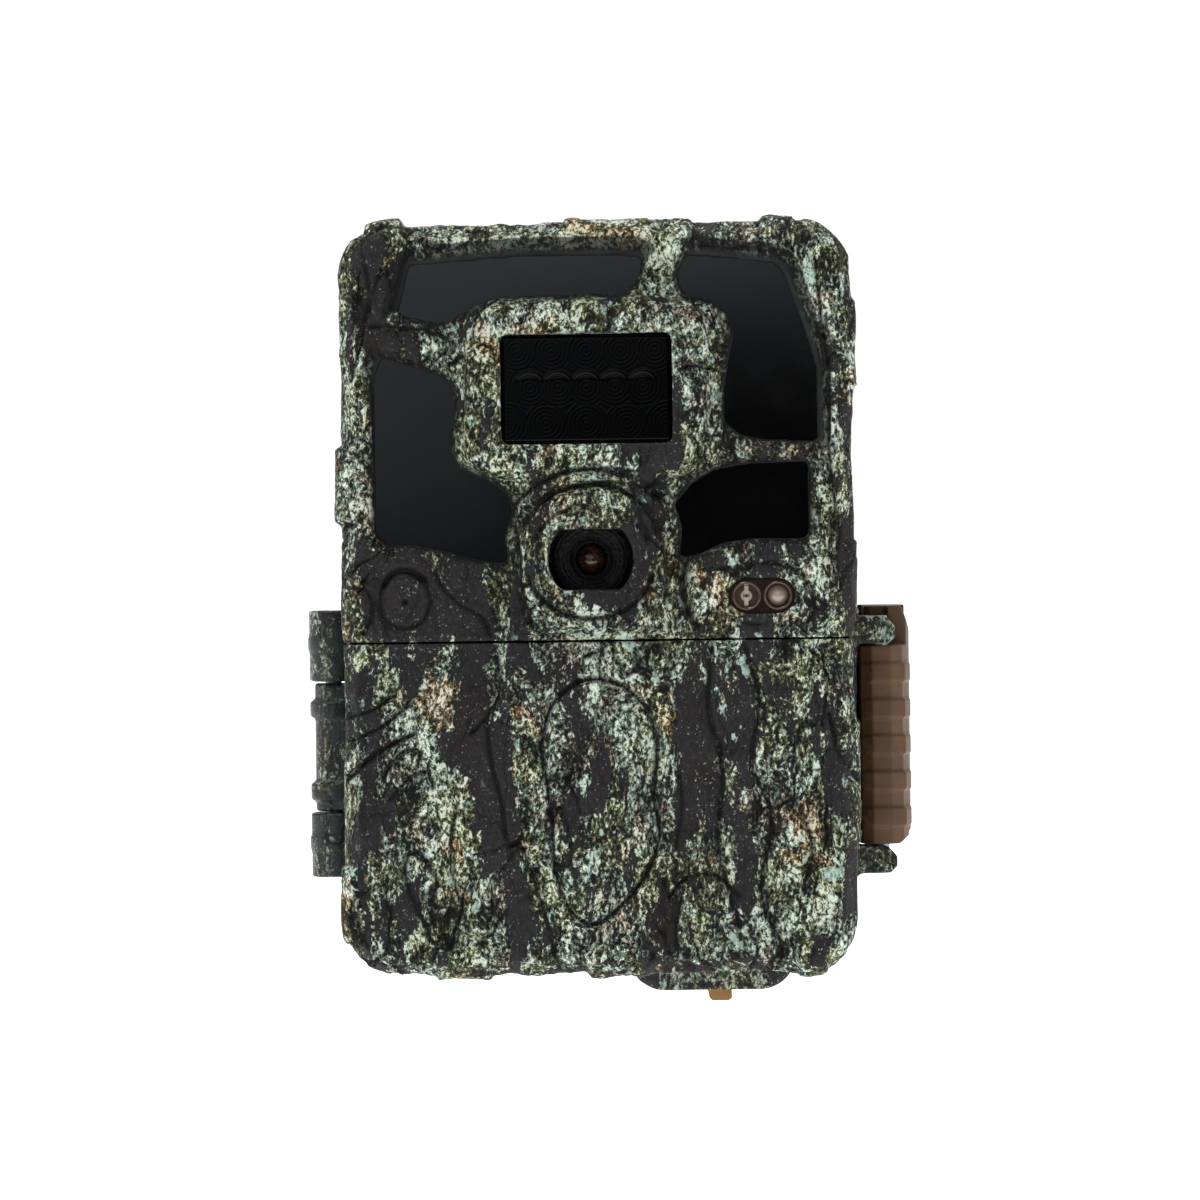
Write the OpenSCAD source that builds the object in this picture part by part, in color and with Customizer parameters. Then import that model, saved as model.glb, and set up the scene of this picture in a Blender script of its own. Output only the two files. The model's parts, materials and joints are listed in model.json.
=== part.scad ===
// Trail camera: clamshell case on a vertical hinge, over-side latch, tree bracket on the back.
// Frame: millimetres, +Z up, the camera looks along -Y, X is across the case.
// The origin is the mouth of the tripod socket, in the middle of the case's underside.

/* [Case] */
// Width of the case across its side walls
case_w = 91; // [89:0.5:94]
// Height of the case, without the power socket's boss
case_h = 131; // [129:0.5:136]
// Radius of the case's four corners seen from the front
corner_r = 9; // [7:0.5:11]
// Depth of the front half, from its rim to the bezel's frame
front_depth = 42; // [42:0.5:46]
// Depth of the rear half, from its rim to its back
rear_depth = 24; // [22:1:30]
// Thickness of the moulded walls
wall = 2.4; // [2:0.1:2.6]

/* [Front face] */
// Height of the seam between the bezel and the lower cover
seam_z = 58.2; // [57:0.1:59]
// How far the motion sensor's and lens's housings stand out of the bezel
nose = 3; // [1:0.5:4]
// Width of the motion sensor's window
pir_w = 29.8; // [28:0.1:30]
// Height of the motion sensor's window
pir_h = 19.1; // [17:0.1:19.5]
// Radius of the round part of the lens opening
lens_r = 7.4; // [7:0.1:8.4]
// Pitch of the infrared emitters
led_pitch = 6.5; // [6:0.1:8]

/* [Hinge and latch] */
// Radius of the hinge's knuckles on the rear half
knuckle_r = 4.4; // [4:0.1:4.6]
// Radius of the steel hinge and latch pins
pin_r = 1.5; // [1.2:0.1:1.6]
// Radial clearance of a turning bore
running = 0.08; // [0.05:0.01:0.1]
// Number of bands on the latch's grip, raised and sunk in turn
grip_bands = 11; // [7:2:13]

/* [Power and storage] */
// Radius of one AA cell
cell_r = 7.1; // [6.9:0.05:7.1]
// Length of one AA cell, without its positive button
cell_l = 48.8; // [48:0.1:48.8]
// Travel of the battery tray before it meets the closed rear half
tray_travel = 20; // [10:1:22]

/* [Mounting] */
// Radius of the tripod socket's bore (1/4-20 UNC, plain at the thread's major diameter)
tripod_r = 3.25; // [3.2:0.01:3.3]
// Depth of the tripod socket
tripod_depth = 7; // [6:0.1:7.2]
// Width of the webbing that the strap slots take
strap_w = 28; // [26:1:30]
// Radius of the lock cable's holes
cable_r = 4.5; // [4:0.1:4.5]

/* [Hidden] */
$fn = 48;

// Depth planes, from the front to the back
y_part = -rear_depth / 2;
y_back = rear_depth / 2;
y_face = y_part - front_depth;
y_nose = y_face - nose;
y_trim = y_part - 32;
y_inner = y_face + wall;
rim_gap = 0.15;
chamfer = 2.6;
chamfer_deep = 3;
y_front_rim = y_part - rim_gap;
y_rear_rim = y_part + rim_gap;

// Colours
dark_bark = [0.24, 0.24, 0.24];
brown = [0.33, 0.24, 0.18];
black = [0.05, 0.05, 0.055];
board_green = [0.08, 0.26, 0.16];
steel = [0.62, 0.62, 0.63];
brass = [0.75, 0.6, 0.3];

// Sealing rims
rim_t = 4.4;
rim_deep = 4;
groove_out = 1.5;
groove_in = 3.1;
groove_deep = 1.85;

// Hinge: its axis stands on the parting plane, outside the left wall
hinge_out = 4.3;
hinge_x = -case_w / 2 - hinge_out;
hinge_lo = 14.6;
hinge_mid_lo = 26.4;
hinge_mid_hi = 50.5;
hinge_hi = 63.6;
barrel_r = 3.5;
knuckle_rib = 0.25;
relief = 0.6;
end_gap = 0.3;

// Latch: its pin stands in two ears on the front half's right wall
latch_x = case_w / 2 + 4.3;
latch_y = y_part - 18;
ear_lo = [15.5, 20.4];
ear_hi = [56.6, 61.6];
ear_out = 52.5 + (case_w - 91) / 2;
catch_x = case_w / 2 + 1.5;

// Motion sensor window, lens, microphone and sensor oval, as [x, z]
pir_at = [-1.9, 102];
lens_at = [-1.5, 72.4];
lens_flat = 5.3;
hood_flat = 6.9;
mic_at = [-34, 65.3];
sensor_at = [[25.5, 65.7], [31, 65.7]];
sensor_r = 3.05;
clip_x = case_w / 2 - wall - 1.2;

// Battery bay, tray and cells
bay_x = 33.2;
bay_lo = 8.5;
bay_hi = 63.3;
bay_wall = 1.2;
bay_floor = y_part - 35.5;
panel_front = y_part - 5;
panel_back = y_part - 3;
tray_x = 32.6;
tray_lo = bay_lo + 0.3;
tray_hi = bay_hi - 0.3;
tray_back = y_part - 3.5;
tray_plate = 2.7;
cell_pitch = 14.8;
cell_rows = [y_part - 13.5, y_part - 28];
cell_columns = [-1.5, -0.5, 0.5, 1.5];

// Circuit boards
board_t = 1.6;
main_y = y_part - 12;
led_y = y_part - 30;
main_front = main_y - board_t;
main_lo = 65.2;
board_hi = 125.5;
led_lo = 70;
standoffs = [[-38.5, 75], [38.5, 75], [-38.5, 122], [38.5, 122]];
panel_posts = [[-39, 95], [38.5, 110.5], [15, 122.5], [-11, 69]];
case_screws = [[-36.5, 9], [36.5, 9], [-36.5, 67.3], [36.5, 67.3]];

// Controls on the inner panel, as [x, z]
pad_at = [-22, 77];
pad_step = 7.4;
mode_at = [-35, 86];
button_r = 2.6;
switch_at = [22, 115];
switch_travel = 6;
niche = [[1, 70.5], [40, 81]];
screen_at = [-12, 107];
screen = [38, 28];

// Power socket on the underside
boss_x = [10.5, 27.5];
boss_low = -4;
boss_r = 6.2;
boss_y = [y_part - 31.5, y_part - 9.5];
jack_at = [17.8, y_part - 21];
jack_r = 3.15;
jack_mouth = -2.5;
cover_hinge = [12, boss_low - 0.9];

// Tripod boss and the brass insert in it
boss_half = 7;
boss_gap = 0.05;
insert_r = 4.8;

// Tree bracket
bracket_w = 64;
bracket_z = [16, 116];
plate_t = 3;
rail_x = 26;
rail_t = 4.5;
rail_deep = 12;
strap_z = 68;
strap_t = 5.2;
cable_at = [y_back + 8.5, 45.5];
bracket_screw_at = [[-16, 28], [16, 28], [-16, 106], [16, 106]];

// ---- Shared shapes ----

// Draws a flat XZ outline as a slab from y0 back to y1
module slab(y0, y1) {
    translate([0, y1, 0])
        rotate([90, 0, 0])
            linear_extrude(y1 - y0)
                children();
}

module rounded(w, h, r) {
    square([w - 2 * r, h], center = true);
    square([w, h - 2 * r], center = true);
    for (x = [-1, 1], z = [-1, 1])
        translate([x * (w / 2 - r), z * (h / 2 - r)])
            circle(r);
}

// The case's outline, moved in by some distance
module outline(inset = 0) {
    translate([0, case_h / 2])
        rounded(case_w - 2 * inset, case_h - 2 * inset, max(corner_r - inset, 1));
}

module window_box(x0, z0, x1, z1) {
    translate([x0, z0])
        square([x1 - x0, z1 - z0]);
}

module rod_y(at, r, y0, y1) {
    translate([at[0], y1, at[1]])
        rotate([90, 0, 0])
            cylinder(r = r, h = y1 - y0);
}

module rod_z(at, r, z0, z1) {
    translate([at[0], at[1], z0])
        cylinder(r = r, h = z1 - z0);
}

module block(low, high) {
    translate(low)
        cube(high - low);
}

// A pan-head screw along Y, its head's outer face at y_head, its shaft going dir (1 is towards +Y)
module screw_y(at, y_head, dir, head_r, head_h, shaft_r, length) {
    translate([at[0], y_head, at[1]])
        rotate([-90 * dir, 0, 0])
            difference() {
                union() {
                    cylinder(r = head_r, h = head_h);
                    cylinder(r = shaft_r, h = head_h + length);
                }
                for (turn = [0, 90])
                    rotate(turn)
                        translate([-head_r * 0.55, -head_r * 0.12, -0.1])
                            cube([head_r * 1.1, head_r * 0.24, head_h * 0.5 + 0.1]);
            }
}

// Opening of the lens: a circle cut flat above and below
module lens_shape(r, flat) {
    translate(lens_at)
        intersection() {
            circle(r);
            square([2.2 * r, 2 * flat], center = true);
        }
}

// ---- Rear half ----

module hinge_column(r, z0, z1) {
    rod_z([hinge_x, y_part], r, z0, z1);
}

module rear_body() {
    hull() {
        slab(y_rear_rim, y_back - chamfer_deep)
            outline($fn = 32);
        slab(y_back - 0.2, y_back)
            outline(chamfer, $fn = 32);
    }
}

module rear_shell() {
    difference() {
        rear_body();
        slab(y_rear_rim - 1, y_part + rim_deep)
            outline(rim_t);
        slab(y_part + rim_deep - 0.01, y_back - wall)
            outline(wall);
        slab(y_rear_rim - 1, y_rear_rim + groove_deep)
            difference() {
                outline(groove_out);
                outline(groove_in);
            }
        hinge_column(barrel_r + 1.3, hinge_mid_lo, hinge_mid_hi);
    }
}

// The rib's lower edge is at rib_z
module rear_knuckle(z0, z1, rib_z) {
    hinge_column(knuckle_r, z0, z1);
    hinge_column(knuckle_r + knuckle_rib, rib_z, rib_z + 2.4);
    block([hinge_x - 2.5, y_part + 0.5, z0], [hinge_x + hinge_out + 1, y_part + knuckle_r, z1]);
}

module rear_case() {
    color(dark_bark)
        difference() {
            union() {
                rear_shell();
                rear_knuckle(hinge_lo, hinge_mid_lo, hinge_lo + 5);
                rear_knuckle(hinge_mid_hi, hinge_hi, hinge_hi - 7.4);
                block([case_w / 2 - 1, y_part + 2.5, 22], [catch_x, y_part + 5.5, 55]);
                for (at = bracket_screw_at)
                    rod_y(at, 3.5, y_back - 7, y_back - 1);
            }
            hinge_column(pin_r, hinge_lo - 1, hinge_hi + 1);
            block(
                [-boss_half - boss_gap, -boss_half - boss_gap, -1],
                [boss_half + boss_gap, boss_half + boss_gap, wall + 1]
            );
            for (at = bracket_screw_at)
                rod_y(at, 1.5, y_back - 5.5, y_back + 1);
        }
}

// A square block let into the rear case's underside, with a flange on the case's floor
module tripod_boss() {
    flange = boss_half + 0.9;
    color(dark_bark)
        difference() {
            union() {
                block([-boss_half, -boss_half, 0], [boss_half, boss_half, tripod_depth + 1.4]);
                block([-flange, -flange, wall], [flange, flange, wall + 1.6]);
            }
            rod_z([0, 0], insert_r, -1, tripod_depth);
        }
}

module tripod_insert() {
    color(brass)
        difference() {
            rod_z([0, 0], insert_r, 0, tripod_depth);
            rod_z([0, 0], tripod_r, -1, tripod_depth + 1);
        }
}

module gasket() {
    color(black)
        slab(y_part - 0.1, y_rear_rim + groove_deep - 0.05)
            difference() {
                outline(groove_out + 0.1);
                outline(groove_in - 0.1);
            }
}

module hinge_pin() {
    color(steel)
        hinge_column(pin_r, hinge_lo, hinge_hi);
}

// ---- Tree bracket ----

module tooth_row(z0, count, pitch) {
    for (i = [0:count - 1])
        translate([0, y_back + rail_deep + plate_t, z0 + i * pitch])
            rotate([90, 0, 90])
                linear_extrude(rail_t)
                    polygon([[-3.2, -pitch / 2], [0.01, 0], [-3.2, pitch / 2]]);
}

module rail(side) {
    x0 = side > 0 ? rail_x : -rail_x - rail_t;
    y0 = y_back + plate_t;
    teeth = 4;
    pitch = 5.6;
    tip = y0 + rail_deep;
    difference() {
        union() {
            block([x0, y0 - 1, bracket_z[0] + 2], [x0 + rail_t, tip - 3.2, bracket_z[1] - 2]);
            translate([x0, 0, 0]) {
                tooth_row(bracket_z[0] + 5.2, teeth, pitch);
                tooth_row(bracket_z[1] - 5.2 - (teeth - 1) * pitch, teeth, pitch);
            }
        }
        block(
            [x0 - 1, y0 + 1.5, strap_z - strap_w / 2 - 1],
            [x0 + rail_t + 1, y0 + 1.5 + strap_t, strap_z + strap_w / 2 + 1]
        );
        translate([x0 - 1, cable_at[0], cable_at[1]])
            rotate([0, 90, 0])
                cylinder(r = cable_r, h = rail_t + 2);
    }
    // A thicker lug carries the lock cable's hole
    difference() {
        translate([x0, cable_at[0], cable_at[1]])
            rotate([0, 90, 0])
                cylinder(r = cable_r + 2, h = rail_t);
        translate([x0 - 1, cable_at[0], cable_at[1]])
            rotate([0, 90, 0])
                cylinder(r = cable_r, h = rail_t + 2);
    }
}

module tree_bracket() {
    plate_h = bracket_z[1] - bracket_z[0];
    color(dark_bark)
        difference() {
            union() {
                slab(y_back, y_back + plate_t)
                    translate([0, (bracket_z[0] + bracket_z[1]) / 2])
                        rounded(bracket_w, plate_h, 6);
                rail(1);
                rail(-1);
                // Stiffening ribs across the plate
                for (z = [40, 52, 84, 96])
                    block([-rail_x - 1, y_back + 1, z - 1], [rail_x + 1, y_back + plate_t + 1.6, z + 1]);
            }
            for (at = bracket_screw_at)
                rod_y(at, 1.7, y_back - 1, y_back + plate_t + 1);
        }
}

module bracket_screws() {
    color(steel)
        for (at = bracket_screw_at)
            screw_y(at, y_back + plate_t + 2, -1, 3, 2, 1.5, 8);
}

// ---- Front half: housing ----

module front_ring() {
    difference() {
        slab(y_trim, y_front_rim)
            outline();
        slab(y_trim - 1, y_part - rim_deep)
            outline(wall);
        slab(y_part - rim_deep - 0.01, y_part + 1)
            outline(rim_t);
        for (z = [[hinge_lo, hinge_mid_lo], [hinge_mid_hi, hinge_hi]])
            hinge_column(knuckle_r + relief, z[0] - end_gap, z[1] + end_gap);
    }
}

module battery_bay() {
    difference() {
        block(
            [-bay_x - bay_wall, bay_floor - bay_wall, bay_lo - bay_wall],
            [bay_x + bay_wall, panel_front - 0.2, bay_hi + bay_wall]
        );
        block([-bay_x, bay_floor, bay_lo], [bay_x, y_part, bay_hi]);
    }
    // Webs that carry the bay on the side walls and the floor
    for (x = [-1, 1], z = [20, 50])
        block(
            [x > 0 ? bay_x + 1 : -case_w / 2 + 1, y_part - 26, z],
            [x > 0 ? case_w / 2 - 1 : -bay_x - 1, y_part - 8, z + 1.6]
        );
    for (x = [-28, -8, 28])
        block([x - 0.8, y_part - 26, 1], [x + 0.8, y_part - 8, bay_lo - 1]);
}

module latch_ear(z) {
    difference() {
        slab(latch_y - 4, latch_y + 4)
            polygon([
                [case_w / 2 - 1, z[0]], [ear_out - 1.2, z[0]], [ear_out, z[0] + 1.2],
                [ear_out, z[1] - 1.8], [ear_out - 1.8, z[1]], [case_w / 2 - 1, z[1]],
            ]);
        rod_z([latch_x, latch_y], pin_r, z[0] - 1, z[1] + 1);
    }
}

module front_knuckle() {
    z0 = hinge_mid_lo + end_gap;
    z1 = hinge_mid_hi - end_gap;
    difference() {
        union() {
            hinge_column(barrel_r, z0, z1);
            hinge_column(knuckle_r, z1 - 6.2, z1 - 3.2);
            hinge_column(knuckle_r, z0 + 2, z0 + 5.2);
            block([hinge_x, y_part - barrel_r, z0], [hinge_x + hinge_out + 1, y_front_rim, z1]);
        }
        hinge_column(pin_r + running, z0 - 1, z1 + 1);
    }
}

module jack_boss() {
    slab(boss_y[0], boss_y[1])
        intersection() {
            union() {
                window_box(boss_x[0], boss_low, boss_x[1], wall);
                for (x = boss_x)
                    translate([x, boss_low + boss_r])
                        circle(boss_r);
            }
            window_box(0, boss_low - 1, 40, 1);
        }
}

module front_housing() {
    color(dark_bark)
        difference() {
            union() {
                front_ring();
                battery_bay();
                latch_ear(ear_lo);
                latch_ear(ear_hi);
                front_knuckle();
                jack_boss();
                for (at = case_screws)
                    rod_y(at, 3, y_part - 20, panel_front - 0.2);
                for (at = case_screws)
                    block(
                        [at[0] > 0 ? at[0] : -case_w / 2 + 1, y_part - 20, at[1] - 0.8],
                        [at[0] > 0 ? case_w / 2 - 1 : at[0], panel_front - 0.2, at[1] + 0.8]
                    );
            }
            for (at = case_screws)
                rod_y(at, 1.2, y_part - 16, y_part);
            rod_z(jack_at, 5.6, boss_low - 1, boss_low + 1.5);
            rod_z(jack_at, 4.6, boss_low - 1, 6.8);
        }
}

// ---- Front half: face ----

// Outlines of the four dark windows, as [x, z]
window_top = [
    [-32.5, 124], [-24.5, 124.5], [-14.5, 125.2], [4.5, 125.2], [8, 125], [7.5, 122],
    [6.5, 120], [4, 118.9], [-8, 118.5], [-17, 118.4], [-21, 117], [-25, 114.7],
    [-28, 114], [-34.5, 115.5],
];
window_right = [
    [15.5, 125], [21, 124.7], [31, 123.6], [32.5, 122], [35.2, 114.5], [37.1, 109],
    [38.2, 104.5], [38.2, 92.6], [29, 93], [25, 93.8], [22.2, 96], [22.2, 102], [23, 107],
    [24, 111.5],
    [22.6, 115.2], [19.5, 117.4], [16, 118.2], [14.5, 120], [14.5, 122.5],
];
window_left = [
    [-37.5, 108], [-33, 106.5], [-28, 105], [-25.6, 103], [-25.2, 98], [-26, 92],
    [-24.5, 88.6], [-19, 86.2], [-15.8, 83.6], [-15.2, 81], [-16.6, 76.5], [-16, 72],
    [-19.5, 72.2], [-26, 74], [-32, 75.2], [-37, 75.5], [-39, 77.5], [-39, 104],
];
window_low = [
    [36.5, 89], [25.5, 88.6], [20, 87.6], [16.5, 85.5], [13.4, 82], [14.6, 77.5],
    [14, 72.5], [17.5, 73.2], [21.5, 75.1], [27, 75.8], [35.5, 75.6], [36.5, 76.5],
];

// The chamfered body that the bezel and the lower cover are cut from
module face_body() {
    hull() {
        slab(y_face, y_face + 0.2)
            outline(chamfer, $fn = 32);
        slab(y_face + chamfer_deep, y_trim)
            outline($fn = 32);
    }
}

module nose_outline() {
    translate([pir_at[0], pir_at[1] + 0.2])
        rounded(43, 31.5, 6);
    translate(lens_at)
        circle(13.6);
    window_box(lens_at[0] - 13.6, seam_z + 1, lens_at[0] + 13.6, lens_at[1]);
    window_box(-12, 80, 10, 90);
}

module sensor_outline(r) {
    for (at = sensor_at)
        translate(at)
            circle(r);
    window_box(sensor_at[0][0], sensor_at[0][1] - r, sensor_at[1][0], sensor_at[1][1] + r);
}

// A snap tongue: it is rooted in its own wall and reaches back past the seam, clear of the next one
module clip(x, z, w, h, to_wall) {
    slab(y_trim - 4, y_trim + 4)
        translate([x, z])
            square([w, h], center = true);
    slab(y_trim - 4, y_trim - 0.5)
        translate([x, z] + to_wall)
            square([w, h], center = true);
}

module front_bezel() {
    color(dark_bark)
        difference() {
            union() {
                difference() {
                    intersection() {
                        face_body();
                        block([-80, y_face - 1, seam_z + 0.15], [80, y_trim, case_h + 1]);
                    }
                    slab(y_inner, y_trim + 1)
                        outline(wall);
                }
                slab(y_nose, y_face + 0.5)
                    nose_outline();
                for (side = [-1, 1])
                    clip(side * clip_x, 95, 1.6, 8, [side, 0]);
                clip(0, case_h - wall - 1.1, 10, 1.6, [0, 1]);
            }
            slab(y_nose - 1, y_inner + 1) {
                polygon(window_top);
                polygon(window_right);
                polygon(window_left);
                polygon(window_low);
                translate(pir_at)
                    rounded(pir_w, pir_h, 1);
                lens_shape(lens_r, lens_flat);
                sensor_outline(sensor_r);
                translate(mic_at)
                    circle(0.45);
            }
            // Shallow round dish round the microphone's hole
            slab(y_face - 1, y_face + 0.5)
                translate(mic_at)
                    difference() {
                        circle(3.9);
                        circle(3.3);
                    }
        }
}

module lower_cover() {
    color(dark_bark) {
        difference() {
            intersection() {
                face_body();
                block([-80, y_face - 1, -1], [80, y_trim, seam_z - 0.15]);
            }
            slab(y_inner, y_trim + 1)
                outline(wall);
        }
        for (side = [-1, 1])
            clip(side * clip_x, 35, 1.6, 8, [side, 0]);
        clip(-25, wall + 1.1, 10, 1.6, [0, -1]);
    }
}

module ir_window() {
    color(black)
        difference() {
            slab(y_inner + 0.1, y_inner + 1.9)
                translate([0, 99])
                    rounded(83, 57.4, 6);
            slab(y_inner - 1, y_inner + 3) {
                translate(pir_at)
                    rounded(pir_w + 2, pir_h + 2, 1);
                translate(lens_at)
                    circle(10.4);
            }
        }
}

module pir_lens() {
    color(black)
        slab(y_nose + 1.2, y_nose + 2.2)
            translate(pir_at)
                rounded(pir_w - 0.4, pir_h - 0.4, 0.8);
}

module pir_chamber() {
    color(black)
        difference() {
            slab(y_nose + 2.2, y_part - 21)
                translate(pir_at)
                    square([pir_w - 0.8, pir_h - 0.8], center = true);
            slab(y_nose + 1, y_part - 20)
                translate(pir_at)
                    square([pir_w - 2.8, pir_h - 2.8], center = true);
        }
}

module pir_board() {
    color(board_green)
        slab(y_part - 21, y_part - 19.8)
            translate(pir_at)
                square([pir_w - 0.8, pir_h - 0.8], center = true);
}

module pir_sensor() {
    color(steel)
        difference() {
            union() {
                rod_y(pir_at, 4.1, y_part - 25.2, y_part - 21);
                rod_y(pir_at, 4.6, y_part - 21.8, y_part - 21);
            }
            slab(y_part - 26, y_part - 24.8)
                translate(pir_at)
                    square([4, 3], center = true);
        }
}

// ---- Front half: lens ----

module lens_window() {
    color([0.1, 0.1, 0.12, 0.5])
        slab(y_inner + 0.1, y_inner + 1.1)
            lens_shape(9.2, hood_flat);
}

module lens_hood() {
    front = y_inner + 1.1;
    color(black)
        intersection() {
            translate([lens_at[0], front, lens_at[1]])
                rotate([-90, 0, 0])
                    difference() {
                        cylinder(r = 9.2, h = 7.2);
                        translate([0, 0, -0.01])
                            cylinder(r1 = 7.9, r2 = 6, h = 3.2);
                        translate([0, 0, 3])
                            cylinder(r = 5.2, h = 5);
                    }
            slab(front, front + 8)
                lens_shape(10, hood_flat);
        }
}

module lens_barrel() {
    front = y_inner + 5.4;
    color([0.09, 0.09, 0.1])
        translate([lens_at[0], front, lens_at[1]])
            rotate([-90, 0, 0])
                difference() {
                    union() {
                        cylinder(r = 5, h = 3.2);
                        translate([0, 0, 3])
                            cylinder(r = 6, h = 14);
                    }
                    translate([0, 0, -0.1])
                        cylinder(r1 = 4, r2 = 3.2, h = 1.3);
                    translate([0, 0, 1])
                        cylinder(r = 3, h = 20);
                }
}

module lens_glass() {
    front = y_inner + 6.3;
    dome = 4.2;
    color([0.25, 0.2, 0.3, 0.6])
        translate([lens_at[0], front, lens_at[1]])
            rotate([-90, 0, 0]) {
                intersection() {
                    cylinder(r = 2.95, h = 4);
                    translate([0, 0, dome])
                        sphere(dome);
                }
                translate([0, 0, 7])
                    cylinder(r = 2.95, h = 1.6);
                translate([0, 0, 12])
                    cylinder(r = 2.95, h = 1.2);
            }
}

module lens_holder() {
    color(black)
        difference() {
            slab(main_front - 12, main_front)
                translate(lens_at)
                    square(13.6, center = true);
            rod_y(lens_at, 6, main_front - 13, main_front - 3.2);
            slab(main_front - 3.3, main_front + 1)
                translate(lens_at)
                    square(11, center = true);
        }
}

module image_sensor() {
    color([0.2, 0.22, 0.28])
        slab(main_front - 1.2, main_front)
            translate(lens_at)
                square([8.5, 7.5], center = true);
}

// ---- Front half: emitters and boards ----

// True where an emitter stands behind one of the dark windows
function led_here(x, z) = z > 115 || x < -21.5 || x > 18.5;

led_spots = [
    for (i = [-5:5], j = [0:7])
        let (x = i * led_pitch, z = 77 + j * led_pitch)
            if (led_here(x, z)) [x, z]
];

module ir_leds() {
    color([0.16, 0.13, 0.2])
        for (at = led_spots)
            translate([at[0], led_y - 1.6 - 6, at[1]])
                rotate([-90, 0, 0]) {
                    translate([0, 0, 1.9])
                        cylinder(r = 2.4, h = 4.1);
                    intersection() {
                        cylinder(r = 2.4, h = 2.5);
                        translate([0, 0, 2.5])
                            sphere(2.5);
                    }
                    translate([0, 0, 5])
                        cylinder(r = 2.8, h = 1);
                }
}

module led_board() {
    color(board_green)
        difference() {
            slab(led_y - board_t, led_y)
                difference() {
                    window_box(-41.5, led_lo, 41.5, board_hi);
                    translate(pir_at)
                        square([pir_w + 1, pir_h + 1], center = true);
                    translate(lens_at)
                        circle(9.5);
                    for (side = [-1, 1])
                        translate([side * 41.5, 95])
                            square([3, 12], center = true);
                }
            for (at = standoffs)
                rod_y(at, 1.4, led_y - 3, led_y + 1);
        }
}

module board_standoffs() {
    color(brass)
        for (at = standoffs)
            difference() {
                translate([at[0], main_front, at[1]])
                    rotate([90, 0, 0])
                        cylinder(r = 2.4, h = main_front - led_y, $fn = 6);
                rod_y(at, 1.2, led_y - 1, main_y);
            }
}

module led_board_screws() {
    color(steel)
        for (at = standoffs)
            screw_y(at, led_y - board_t - 1.4, 1, 2.4, 1.4, 1.2, 6);
}

module main_board() {
    color(board_green)
        difference() {
            slab(main_front, main_y)
                difference() {
                    window_box(-42, main_lo, 42, board_hi);
                    // The corners clear the case's screw posts
                    for (side = [-1, 1])
                        translate([side * 42, main_lo])
                            square([18, 12.4], center = true);
                }
            for (at = panel_posts)
                rod_y(at, 1.2, main_y - 3, main_y + 1);
        }
}

module board_chips() {
    color([0.12, 0.12, 0.13]) {
        slab(main_front - 1.4, main_front)
            for (chip = [[-24, 84, 12], [-24, 108, 9], [24, 84, 10], [24, 110, 7]])
                translate([chip[0], chip[1]])
                    square(chip[2], center = true);
        for (at = [[-10, 118], [-3, 118], [4, 118]])
            rod_y(at, 2.5, main_front - 7, main_front);
    }
}

function pad_spots() = [
    [pad_at[0], pad_at[1] + pad_step], [pad_at[0], pad_at[1] - pad_step],
    [pad_at[0] - pad_step, pad_at[1]], [pad_at[0] + pad_step, pad_at[1]],
    pad_at, mode_at,
];

module tact_switches() {
    color(steel)
        for (at = pad_spots()) {
            slab(main_y, main_y + 2.8)
                translate(at)
                    square(5.4, center = true);
            rod_y(at, 1.6, main_y + 2.7, main_y + 3.3);
        }
}

module sd_socket() {
    y0 = main_y + 0.6;
    color(steel)
        difference() {
            block([13.5, main_y, niche[1][1] + 0.6], [39.5, y0 + 3.6, niche[1][1] + 26]);
            block([14.3, y0, niche[1][1] - 1], [38.7, y0 + 2.6, niche[1][1] + 24]);
        }
}

module usb_port() {
    color(steel)
        difference() {
            block([2, main_y, niche[1][1] + 0.6], [10.4, main_y + 3.6, niche[1][1] + 8]);
            block([2.7, main_y + 0.7, niche[1][1] - 1], [9.7, main_y + 2.9, niche[1][1] + 6.5]);
        }
}

module switch_body() {
    color(steel)
        block(
            [switch_at[0] - 4, main_y, switch_at[1] - 2.6],
            [switch_at[0] + switch_travel + 4, main_y + 3.4, switch_at[1] + 2.6]
        );
}

module display() {
    color([0.03, 0.03, 0.04])
        slab(panel_front - 3, panel_front - 0.1)
            translate(screen_at)
                square([screen[0] + 6, screen[1] + 5], center = true);
}

module microphone() {
    color(steel)
        difference() {
            rod_y(mic_at, 2.2, y_inner, y_inner + 2.2);
            rod_y(mic_at, 0.6, y_inner - 1, y_inner + 1);
        }
}

module sensor_window() {
    color([0.12, 0.07, 0.05])
        difference() {
            slab(y_face + 0.5, y_inner)
                sensor_outline(sensor_r - 0.1);
            for (at = sensor_at)
                rod_y(at, 2.2, y_face - 1, y_inner + 1);
        }
}

module light_sensor() {
    at = sensor_at[0];
    color([0.55, 0.5, 0.48]) {
        rod_y(at, 2.1, y_inner - 0.8, y_inner + 1.4);
        slab(y_inner - 1.1, y_inner - 0.7)
            translate(at)
                square([0.7, 3.4], center = true);
    }
}

module status_led() {
    at = sensor_at[1];
    color([0.75, 0.75, 0.72])
        translate([at[0], y_inner - 1.5, at[1]])
            rotate([-90, 0, 0]) {
                translate([0, 0, 1.5])
                    cylinder(r = 2.1, h = 1.4);
                intersection() {
                    cylinder(r = 2.1, h = 2);
                    translate([0, 0, 2.2])
                        sphere(2.2);
                }
            }
}

// ---- Front half: inner panel ----

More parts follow.
